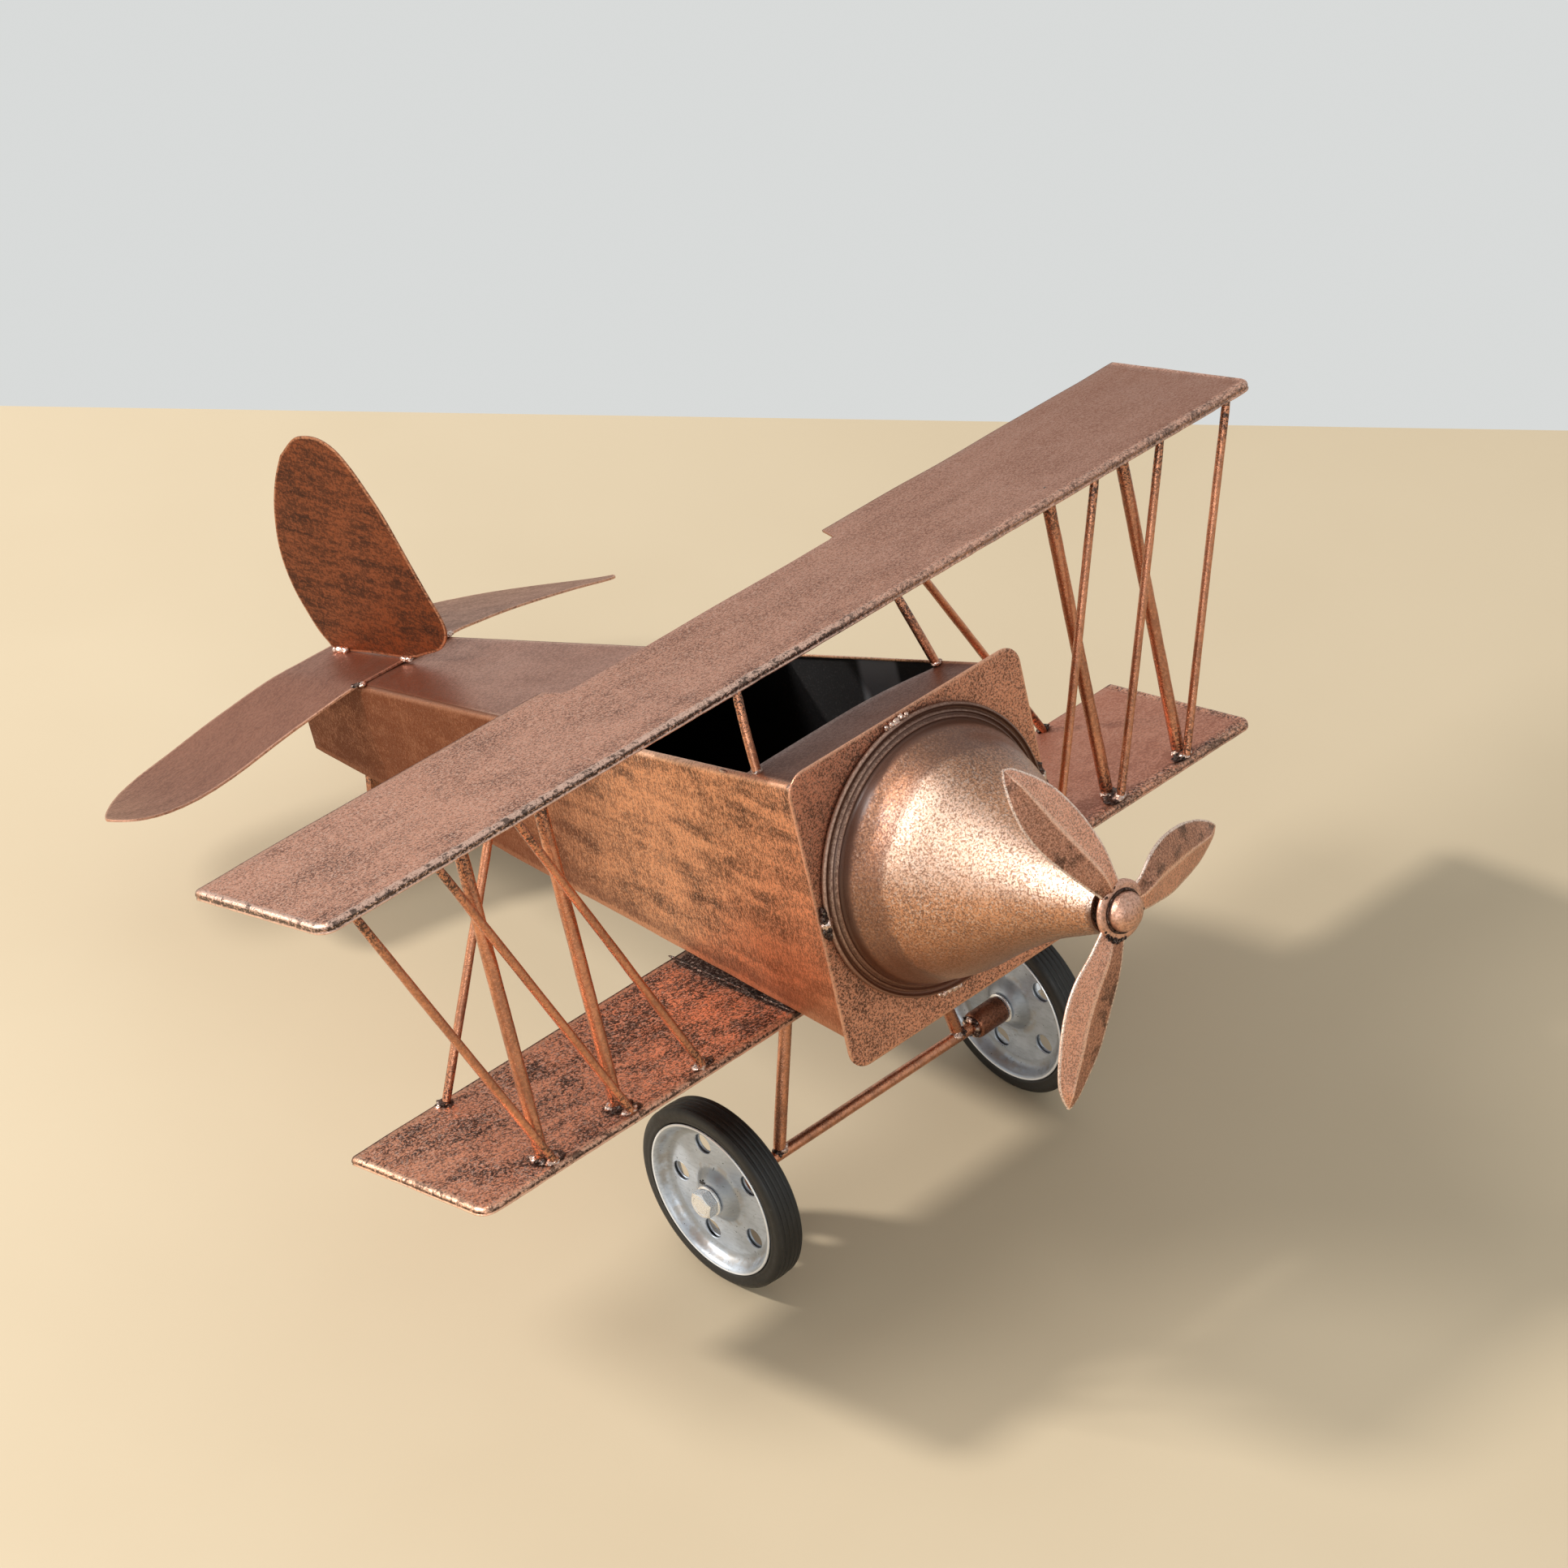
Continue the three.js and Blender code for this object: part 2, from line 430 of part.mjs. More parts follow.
// ---------------------------------------------------------------- tail
// one sheet across the deck, its two leaf-shaped halves drooping outboard
const stabFront = [[0, 350], [30, 350.5], [50, 360.5], [70, 369], [90, 375.5], [110, 380], [130, 383.5], [150, 386.5], [160, 389], [166, 393], [169.5, 400]];
const stabRear = [[0, 424], [30, 424.5], [50, 435.5], [70, 444.5], [90, 451], [110, 454.5], [122, 453.5], [134, 447.5], [145, 436], [157, 420], [169.5, 404]];
const lerp = (table, x) => {
  for (let i = 1; i < table.length; i++)
    if (x <= table[i][0]) {
      const [x0, y0] = table[i - 1], [x1, y1] = table[i];
      return y0 + ((y1 - y0) * (x - x0)) / (x1 - x0);
    }
  return table[table.length - 1][1];
};
const droopRight = [[0, 0], [31, 0], [60, 9.2], [90, 18.6], [110, 23.5], [125, 24.6], [140, 23.4], [155, 20.2], [170, 16]];
const droopLeft = [[0, 0], [31, 0], [60, 7.6], [90, 15.8], [120, 24.2], [150, 31.6], [170, 36.5]];
{
  const at = [31, 50, 80, 110, 134, 150, 160, 166, 169.5];
  const xs = [...at.map((x) => -x * (168 / 169.5)).reverse(), ...at.map((x) => x * (176 / 169.5))];
  const rings = xs.map((x) => {
    const ax = Math.abs(x), out = ax * (x < 0 ? 169.5 / 168 : 169.5 / 176);
    const yf = lerp(stabFront, out), yr = lerp(stabRear, out), ym = (yf + yr) / 2;
    const d = lerp(x < 0 ? droopRight : droopLeft, ax);
    const twist = x > 31 ? 0.9 * ((x - 31) / 139) : 0;       // the left half is wrung a little, front edge up
    const lift = (y) => topZ(y) + GAP - d - twist * (y - ym) * 0.12;
    return [[yf, lift(yf)], [ym, lift(ym)], [yr, lift(yr)], [yr, lift(yr) + SHEET], [ym, lift(ym) + SHEET], [yf, lift(yf) + SHEET]]
      .map(([y, z]) => new THREE.Vector3(x, y, z));
  });
  add("stabilizer", loft(rings, (p) => new THREE.Vector2(p.y, p.z)), copper(0xa56a52));
}

// upright leaf-shaped fin standing on the stabilizer
{
  const foot = (y) => topZ(y) + GAP + SHEET + GAP;
  const pts = [[417.3, 22], [402, 34], [391.6, 37.6], [378.5, 38.4], [366, 34.6], [355.5, 26.2], [346.1, 15.2], [337, 2.6], [329.3, -11.7],
    [321.5, -27], [313.6, -41.5], [307.5, -52], [306, -59], [309, -65.5], [316.5, -71.8], [330, -77.2], [346, foot(346)], [414, foot(414)],
    [420.5, foot(414) + 3.5], [426.5, -83], [433, -73], [438.5, -62.5], [441.6, -51], [442.6, -39], [440.7, -25], [435.7, -9], [427.6, 7]];
  const g = extrude(outline(pts.map(([y, z]) => [y, z])), SHEET);
  g.translate(0, 0, -SHEET / 2);
  add("tail_fin", g, copper(0x9a5233)).quaternion.copy(UPRIGHT);
}

// ---------------------------------------------------------------- stance
const pitch = rad(PITCH);
const level = (y, z) => Math.cos(pitch) * z - Math.sin(pitch) * y;    // height before the set-down
const ground = level(AXLE_Y, AXLE_Z) - TYRE_R * Math.cos(Math.PI / TYRE_SEG);

// tail skid: strip welded under the stern, dropping to a foot that lies on the ground
{
  const along = (y, z) => [Math.cos(pitch) * y + Math.sin(pitch) * z, level(y, z)];
  const [ty, tz] = along(SKID_Y, bottomZ(SKID_Y) - GAP);
  const [uy, uz] = along(SKID_Y - 24, bottomZ(SKID_Y - 24) - GAP);
  const [ky] = along(SKID_Y + 14, bottomZ(SKID_Y) - 60);
  const down = ground, t = SKID_T;
  const slope = (tz - uz) / (ty - uy);
  const pts = [[uy, uz], [ty, tz], [ty, tz - t * 0.6], [ky + t, down + t], [ky + t, down], [ky - SKID_FOOT, down],
    [ky - SKID_FOOT, down + t], [ky - t, down + t], [ty - 2 * t, tz - t - 2 * t * slope], [uy, uz - t]];
  const g = extrude(outline(pts), 2 * SKID_HALF);
  g.translate(0, 0, -SKID_HALF);
  const upright = new THREE.Group();         // drawn in ground axes, so the airframe pitch is undone
  upright.rotation.x = pitch;
  airframe.add(upright);
  add("tail_skid", g, copper(0x8f5c44), upright).quaternion.copy(UPRIGHT);
}

airframe.rotation.x = -pitch;
const group = new THREE.Group();
group.add(airframe);

// origin under the middle of the whole object, on the ground
group.updateMatrixWorld(true);
const box = new THREE.Box3();
group.traverse((o) => {
  if (!o.isMesh) return;
  const p = o.geometry.attributes.position, v = new THREE.Vector3();
  for (let i = 0; i < p.count; i++) box.expandByPoint(v.fromBufferAttribute(p, i).applyMatrix4(o.matrixWorld));
});
airframe.position.set(-(box.min.x + box.max.x) / 2, -(box.min.y + box.max.y) / 2, -box.min.z);
group.updateMatrixWorld(true);

export default group;
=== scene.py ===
"""Looks for the sheet-metal biplane planter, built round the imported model."""
import bpy, bmesh, math, random
import numpy as np
from mathutils import Vector, Matrix, noise


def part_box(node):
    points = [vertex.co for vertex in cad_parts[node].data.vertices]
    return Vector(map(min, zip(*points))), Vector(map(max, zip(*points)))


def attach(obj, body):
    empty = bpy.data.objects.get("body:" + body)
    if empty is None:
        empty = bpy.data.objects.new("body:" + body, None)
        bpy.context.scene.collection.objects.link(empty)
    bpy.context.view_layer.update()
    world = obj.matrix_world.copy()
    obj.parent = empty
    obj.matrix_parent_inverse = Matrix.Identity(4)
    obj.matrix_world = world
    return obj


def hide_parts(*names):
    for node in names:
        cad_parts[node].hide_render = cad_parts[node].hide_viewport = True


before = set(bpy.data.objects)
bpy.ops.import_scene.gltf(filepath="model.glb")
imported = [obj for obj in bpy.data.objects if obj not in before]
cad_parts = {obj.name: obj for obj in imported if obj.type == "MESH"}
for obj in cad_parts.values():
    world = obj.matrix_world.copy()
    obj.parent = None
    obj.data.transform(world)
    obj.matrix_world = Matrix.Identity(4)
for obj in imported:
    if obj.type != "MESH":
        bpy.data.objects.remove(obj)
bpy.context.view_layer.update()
random.seed(7)

# ------------------------------------------------------------------ airframe axes
# airframe millimetres: x to the left wing, y to the tail, z square to the wings
TH = math.radians(17.26)
C, S = math.cos(TH), math.sin(TH)
_lo, _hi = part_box("axle_rod")
_m = (_lo + _hi) * 500.0
PY = _m.y - (C * 42.0 + S * -259.5)
PZ = _m.z - (-S * 42.0 + C * -259.5)


def A(points):
    """airframe millimetres to row-frame metres"""
    p = np.asarray(points, float).reshape(-1, 3)
    return np.stack([p[:, 0], C * p[:, 1] + S * p[:, 2] + PY, -S * p[:, 1] + C * p[:, 2] + PZ], 1) / 1000.0


def A1(p):
    return Vector(A([p])[0])


# ------------------------------------------------------------------ node helper
class Mat:
    def __init__(self, name):
        self.m = bpy.data.materials.new(name)
        self.m.use_nodes = True
        self.t = self.m.node_tree
        self.t.nodes.clear()
        out = self.t.nodes.new("ShaderNodeOutputMaterial")
        self.b = self.t.nodes.new("ShaderNodeBsdfPrincipled")
        self.t.links.new(self.b.outputs[0], out.inputs[0])
        tc = self.t.nodes.new("ShaderNodeTexCoord")
        mp = self.t.nodes.new("ShaderNodeMapping")
        mp.inputs["Scale"].default_value = (1000, 1000, 1000)
        mp.inputs["Rotation"].default_value = (TH, 0, 0)
        q = Matrix.Rotation(TH, 3, "X") @ Vector((0, PY, PZ))
        mp.inputs["Location"].default_value = -q
        self.t.links.new(tc.outputs["Object"], mp.inputs["Vector"])
        self.co = mp.outputs[0]
        sp = self.t.nodes.new("ShaderNodeSeparateXYZ")
        self.t.links.new(self.co, sp.inputs[0])
        self.x, self.y, self.z = sp.outputs

    def put(self, sock, v):
        if isinstance(v, bpy.types.NodeSocket):
            self.t.links.new(v, sock)
        else:
            sock.default_value = v

    def math(self, op, a, b=0.0, c=None, clamp=False):
        n = self.t.nodes.new("ShaderNodeMath")
        n.operation = op
        n.use_clamp = clamp
        self.put(n.inputs[0], a)
        self.put(n.inputs[1], b)
        if c is not None:
            self.put(n.inputs[2], c)
        return n.outputs[0]

    def span(self, v, a, b, lo=0.0, hi=1.0, smooth=True):
        n = self.t.nodes.new("ShaderNodeMapRange")
        n.interpolation_type = "SMOOTHSTEP" if smooth else "LINEAR"
        self.put(n.inputs["Value"], v)
        n.inputs["From Min"].default_value = a
        n.inputs["From Max"].default_value = b
        n.inputs["To Min"].default_value = lo
        n.inputs["To Max"].default_value = hi
        return n.outputs[0]

    def noise(self, scale, detail=2.0, rough=0.5, stretch=(1, 1, 1), rot=(0, 0, 0), shift=(0, 0, 0), dist=0.0, vec=None):
        mp = self.t.nodes.new("ShaderNodeMapping")
        mp.inputs["Scale"].default_value = tuple(scale * s for s in stretch)
        mp.inputs["Rotation"].default_value = rot
        mp.inputs["Location"].default_value = shift
        self.put(mp.inputs["Vector"], vec if vec is not None else self.co)
        n = self.t.nodes.new("ShaderNodeTexNoise")
        n.inputs["Scale"].default_value = 1.0
        n.inputs["Detail"].default_value = detail
        n.inputs["Roughness"].default_value = rough
        n.inputs["Distortion"].default_value = dist
        self.t.links.new(mp.outputs[0], n.inputs["Vector"])
        return n.outputs["Fac"]

    def mix(self, fac, a, b, blend="MIX"):
        n = self.t.nodes.new("ShaderNodeMix")
        n.data_type = "RGBA"
        n.blend_type = blend
        n.clamp_factor = True
        self.put(n.inputs[0], fac)
        self.put(n.inputs[6], a if isinstance(a, bpy.types.NodeSocket) else (*a, 1))
        self.put(n.inputs[7], b if isinstance(b, bpy.types.NodeSocket) else (*b, 1))
        return n.outputs[2]

    def lerp(self, fac, a, b):
        n = self.t.nodes.new("ShaderNodeMix")
        n.data_type = "FLOAT"
        self.put(n.inputs[0], fac)
        self.put(n.inputs[2], a)
        self.put(n.inputs[3], b)
        return n.outputs[0]

    def attr(self, name):
        n = self.t.nodes.new("ShaderNodeAttribute")
        n.attribute_type = "GEOMETRY"
        n.attribute_name = name
        return n.outputs["Fac"]

    def bump(self, height, distance, strength=1.0, normal=None):
        n = self.t.nodes.new("ShaderNodeBump")
        n.inputs["Strength"].default_value = strength
        n.inputs["Distance"].default_value = distance
        self.put(n.inputs["Height"], height)
        if normal is not None:
            self.t.links.new(normal, n.inputs["Normal"])
        return n.outputs[0]

    def done(self, color, rough, metal, normal=None, **flat):
        self.put(self.b.inputs["Base Color"], color if isinstance(color, bpy.types.NodeSocket) else (*color, 1))
        self.put(self.b.inputs["Roughness"], rough)
        self.put(self.b.inputs["Metallic"], metal)
        if normal is not None:
            self.t.links.new(normal, self.b.inputs["Normal"])
        for k, v in flat.items():
            self.b.inputs[k].default_value = v
        return self.m


def copper(name, base, dark, pale, streak=(1, 0.12, 0.6), streak_rot=(0, 0, 0), streaks=0.5, blotch=0.5, speck=0.5,
           pale_speck=0.25, rough=0.4, metal=1.0, seed=0.0, zones=None, wave=None, grain=1.0, fine_stretch=(1, 1, 1), relief=1.0, coat=0.04):
    """antiqued copper: base metal, dark patina in soft streaks, clouds and dense specks, pale flecks of wear (on the
    weld beads also painted glints)
    """
    k = Mat(name)
    sh = (seed, seed * 1.7, seed * 0.6)
    blot = k.noise(0.022, 4, 0.6, shift=sh, dist=0.6)
    band = k.noise(0.13, 5, 0.60, stretch=streak, rot=streak_rot, shift=sh, dist=0.3)
    fine = k.noise(0.60 * grain, 5, 0.80, shift=sh)
    hair = k.noise(0.85 * grain, 4, 0.75, stretch=fine_stretch, rot=streak_rot, shift=(sh[0] + 3, sh[1], sh[2]))
    cloud = k.noise(0.16, 4, 0.65, shift=(sh[0] + 13, sh[1], sh[2]), dist=0.5)
    d = k.math("MULTIPLY", k.span(blot, 0.36, 0.72), blotch)
    d = k.math("ADD", d, k.math("MULTIPLY", k.span(band, 0.36, 0.72), streaks))
    d = k.math("ADD", d, k.math("MULTIPLY", k.span(cloud, 0.36, 0.70), blotch * 0.35))
    if wave is not None:
        d = k.math("ADD", d, wave(k))
    # specks crowd where the patina is already thick
    grainy = k.math("ADD", k.math("MULTIPLY", fine, 0.55), k.math("MULTIPLY", hair, 0.45))
    edge = k.math("ADD", grainy, k.math("MULTIPLY", d, 0.060))
    sp = k.span(edge, 0.497, 0.545)
    d = k.math("ADD", k.math("MULTIPLY", d, 0.42), k.math("MULTIPLY", sp, speck), clamp=True)
    col = k.mix(d, base, dark)
    # pale flecks of wear, which on the weld beads also stand for painted glints
    fleck = k.span(k.noise(0.65 * grain, 5, 0.8, shift=(sh[0] + 31, sh[1], sh[2] + 9)), 0.525, 0.60)
    wear_and_glints = k.math("MULTIPLY", fleck, pale_speck)
    col = k.mix(wear_and_glints, col, pale)
    r = k.math("ADD", rough - 0.06, k.math("MULTIPLY", d, 0.30), clamp=True)
    m = k.lerp(d, metal, metal * 0.93)
    if zones:
        col, r, m = zones(k, col, r, m, dark, pale, grainy)
    h = k.math("ADD", grainy, k.math("MULTIPLY", band, 0.2))
    nrm = k.bump(h, 0.00045, 0.7 * relief)
    nrm = k.bump(k.noise(0.035, 2, 0.5, shift=sh), 0.0014, 0.3, nrm)
    return k.done(col, r, m, nrm, **{"Coat Weight": coat, "Coat Roughness": 0.3, "Specular IOR Level": 0.35})


# ------------------------------------------------------------------ materials
DARK = (0.045, 0.022, 0.015)
BLACK = (0.012, 0.009, 0.008)
PALE = (0.80, 0.56, 0.45)


def side_zones(k, col, r, m, dark, pale, g):
    # light line along the bottom hem, and a line of wear with a painted highlight along the top fold
    low = k.math("SUBTRACT", k.z, k.math("ADD", -164.6, k.math("MULTIPLY", k.y, 0.056)))
    top = k.math("SUBTRACT", k.math("SUBTRACT", -37.2, k.math("MULTIPLY", k.y, 0.1367)), k.z)
    hem = k.math("MULTIPLY", k.span(low, 3.6, 2.4), k.span(g, 0.62, 0.5))
    col = k.mix(hem, col, (0.62, 0.31, 0.18))
    shade = k.math("MULTIPLY", k.math("MULTIPLY", k.span(low, 3.0, 5.0), k.span(low, 16, 5)), 0.45)
    col = k.mix(shade, col, (0.16, 0.07, 0.045))
    # painted highlight with wear: lighter line along the top fold, broken by the grain
    fold = k.math("MULTIPLY", k.span(top, 3.4, 1.2), k.span(g, 0.66, 0.46))
    col = k.mix(k.math("MULTIPLY", fold, 0.75), col, (0.85, 0.50, 0.33))
    # redder and darker towards the foot of the side beside the lower wing
    red = k.math("MULTIPLY", k.span(k.y, 60, -30), k.span(low, 62, 12))
    col = k.mix(k.math("MULTIPLY", red, 0.45), col, (0.66, 0.215, 0.09))
    # browner towards the stern
    col = k.mix(k.math("MULTIPLY", k.span(k.y, 90, 250), 0.74), col, (0.195, 0.050, 0.015))
    # thin dark line where the plate meets the side
    seam = k.math("MULTIPLY", k.span(k.y, -43.0, -47.5), k.span(g, 0.42, 0.56))
    col = k.mix(k.math("MULTIPLY", seam, 0.8), col, dark)
    return col, k.lerp(fold, r, 0.3), m


def side_wave(k):
    # soft bands swept along the side, strongest under the upper wing
    w = k.noise(0.115, 3, 0.5, stretch=(1, 0.20, 1.0), rot=(0.14, 0, 0), dist=0.5)
    v = k.noise(0.030, 3, 0.55, shift=(4, 1, 7))
    a = k.math("MULTIPLY", k.span(w, 0.34, 0.68), 0.75)
    a = k.math("MULTIPLY", a, k.span(v, 0.30, 0.70, 0.45, 1.0))
    rear = k.math("MULTIPLY", k.span(k.y, 90, 230), 0.50)
    low = k.math("SUBTRACT", k.z, k.math("ADD", -164.6, k.math("MULTIPLY", k.y, 0.056)))
    foot = k.math("MULTIPLY", k.math("MULTIPLY", k.span(low, 45, 6), k.span(k.y, 120, 10)), 0.10)
    return k.math("ADD", k.math("ADD", a, rear), foot)


M_SIDE = copper("copper_side", (0.85, 0.40, 0.215), (0.085, 0.036, 0.020), (0.95, 0.64, 0.44), streak=(1, 0.8, 0.3), streak_rot=(-0.22, 0, 0),
                streaks=0.30, blotch=0.16, speck=0.58, pale_speck=0.36, rough=0.40, seed=3.0, grain=1.35, zones=side_zones, wave=side_wave,
                fine_stretch=(1, 1, 0.25))


def deck_zones(k, col, r, m, dark, pale, g):
    top = k.math("ABSOLUTE", k.x)
    edge = k.math("SUBTRACT", k.math("SUBTRACT", 63.2, k.math("MULTIPLY", k.y, 0.0903)), top)
    # painted highlight with wear: lighter lip along the deck's side edges, broken by the grain
    lip = k.math("MULTIPLY", k.span(edge, 5.0, 2.6), k.span(g, 0.66, 0.46))
    # painted shade: darker front strip of the deck ahead of the opening
    painted_shade_strip = k.math("MULTIPLY", k.span(k.y, 8, -2), 0.62)
    col = k.mix(painted_shade_strip, col, (0.115, 0.055, 0.038))
    col = k.mix(k.math("MULTIPLY", lip, 0.7), col, (0.80, 0.47, 0.32))
    return col, k.lerp(lip, r, 0.3), m


M_DECK = copper("copper_deck", (0.52, 0.24, 0.155), (0.07, 0.036, 0.028), (0.7, 0.45, 0.36), streak=(0.5, 0.10, 1), streaks=0.30,
                blotch=0.40, speck=0.34, pale_speck=0.20, rough=0.36, seed=11.0, zones=deck_zones, relief=0.7)


def plate_zones(k, col, r, m, dark, pale, g):
    ax = k.math("ABSOLUTE", k.x)
    az = k.math("ABSOLUTE", k.math("ADD", k.z, 101.0))
    e = k.math("MAXIMUM", k.math("SUBTRACT", ax, 74.8), k.math("SUBTRACT", az, 78.5))
    rim = k.math("MULTIPLY", k.span(e, -1.7, -0.6), k.span(g, 0.68, 0.5))
    col = k.mix(k.math("MULTIPLY", rim, 0.85), col, (0.78, 0.42, 0.27))
    rr = k.math("SQRT", k.math("ADD", k.math("MULTIPLY", k.x, k.x), k.math("POWER", k.math("ADD", k.z, 96.8), 2.0)))
    soot = k.math("MULTIPLY", k.math("MULTIPLY", k.span(rr, 80, 71), k.span(g, 0.36, 0.56)), 0.35)
    col = k.mix(soot, col, dark)
    return col, r, m


M_PLATE = copper("copper_plate", (0.78, 0.36, 0.225), (0.060, 0.030, 0.021), (0.86, 0.56, 0.42), streak=(0.8, 1, 0.5), streaks=0.20, blotch=0.30,
                 speck=0.72, pale_speck=0.34, rough=0.40, seed=21.0, grain=1.35, zones=plate_zones)


def cone_zones(k, col, r, m, dark, pale, g):
    rr = k.math("SQRT", k.math("ADD", k.math("MULTIPLY", k.x, k.x), k.math("POWER", k.math("ADD", k.z, 96.8), 2.0)))
    # painted reflection: dark band over the cove between the rim and the shoulder; roughness eased towards 0.5 there
    painted_cove_reflection = k.math("MULTIPLY", k.span(k.y, -62.2, -60.2), 1.0)
    c2 = k.math("MULTIPLY", painted_cove_reflection, k.span(g, 0.30, 0.56, 0.35, 0.92))
    col = k.mix(c2, col, (0.10, 0.045, 0.028))
    # worn crests of the rolled rim
    crest = k.math("MULTIPLY", k.span(rr, 69.9, 70.5), k.span(g, 0.70, 0.5))
    crest2 = k.math("MULTIPLY", k.math("MULTIPLY", k.span(rr, 66.6, 67.1), k.span(rr, 68.1, 67.6)), k.span(g, 0.62, 0.46))
    crest3 = k.math("MULTIPLY", k.math("MULTIPLY", k.span(rr, 64.6, 64.9), k.span(rr, 65.7, 65.3)), k.span(g, 0.60, 0.44))
    wear = k.math("ADD", crest, k.math("MULTIPLY", k.math("ADD", crest2, crest3), 0.75), clamp=True)
    wear = k.math("MULTIPLY", wear, k.span(k.y, -58.5, -56.5))
    col = k.mix(wear, col, (0.90, 0.64, 0.50))
    groove = k.math("MULTIPLY", k.math("MULTIPLY", k.span(rr, 67.9, 68.4), k.span(rr, 69.8, 69.2)), k.span(k.y, -58.5, -56.5))
    groove2 = k.math("MULTIPLY", k.math("MULTIPLY", k.span(rr, 65.2, 65.6), k.span(rr, 66.8, 66.4)), k.span(k.y, -58.5, -56.5))
    groove3 = k.math("MULTIPLY", k.math("MULTIPLY", k.span(rr, 61.8, 62.2), k.span(rr, 64.2, 63.5)), k.span(k.y, -61.0, -59.0))
    col = k.mix(k.math("MAXIMUM", groove, k.math("MULTIPLY", k.math("MAXIMUM", groove2, groove3), 0.85)), col, BLACK)
    neck = k.span(k.y, -163.2, -166.4)
    col = k.mix(k.math("MULTIPLY", neck, 0.8), col, (0.07, 0.03, 0.022))
    # painted highlight: silvery white over the crown towards the upper right-hand side, broken by the grain
    ux = k.math("DIVIDE", k.math("MULTIPLY", k.x, -0.66), rr)
    uz = k.math("DIVIDE", k.math("MULTIPLY", k.math("ADD", k.z, 96.8), 0.751), rr)
    painted_crown_highlight = k.math("MULTIPLY", k.span(k.math("ADD", ux, uz), 0.74, 0.985), k.span(k.y, -70, -78))
    col = k.mix(k.math("MULTIPLY", painted_crown_highlight, k.span(g, 0.525, 0.47, 0.05, 0.50)), col, (0.90, 0.77, 0.66))
    # painted dark reflection: browner towards the top and the far side of the wide end
    nx = k.math("DIVIDE", k.x, rr)
    painted_dark_reflection = k.math("MULTIPLY", k.math("MULTIPLY", k.span(k.y, -112, -74), k.span(nx, -0.40, 0.20)), k.span(g, 0.40, 0.56, 0.45, 0.95))
    col = k.mix(k.math("MULTIPLY", painted_dark_reflection, 0.92), col, (0.13, 0.058, 0.035))
    # painted reflections: browner and redder round the underside of the bell and just in front of its flare
    under = k.span(k.z, -96.8 + 6, -96.8 - 40)
    col = k.mix(k.math("MULTIPLY", under, 0.66), col, (0.34, 0.105, 0.035))
    ragged = k.math("MULTIPLY", k.math("SUBTRACT", k.noise(0.06, 3, 0.6), 0.5), 9.0)
    painted_flare_reflection = k.span(k.math("ADD", k.y, ragged), -79.0, -75.0)
    col = k.mix(k.math("MULTIPLY", k.math("MULTIPLY", painted_flare_reflection, k.span(g, 0.30, 0.60, 0.5, 1.0)), 0.78), col, (0.15, 0.064, 0.038))
    return col, k.lerp(painted_cove_reflection, r, 0.5), m


M_CONE = copper("copper_cone", (0.72, 0.345, 0.18), (0.085, 0.036, 0.022), (0.97, 0.84, 0.74), streak=(1, 1, 1), streaks=0.12, blotch=0.22,
                speck=0.66, pale_speck=0.50, rough=0.33, metal=1.0, seed=33.0, zones=cone_zones, grain=1.3, relief=1.25, coat=0.6)


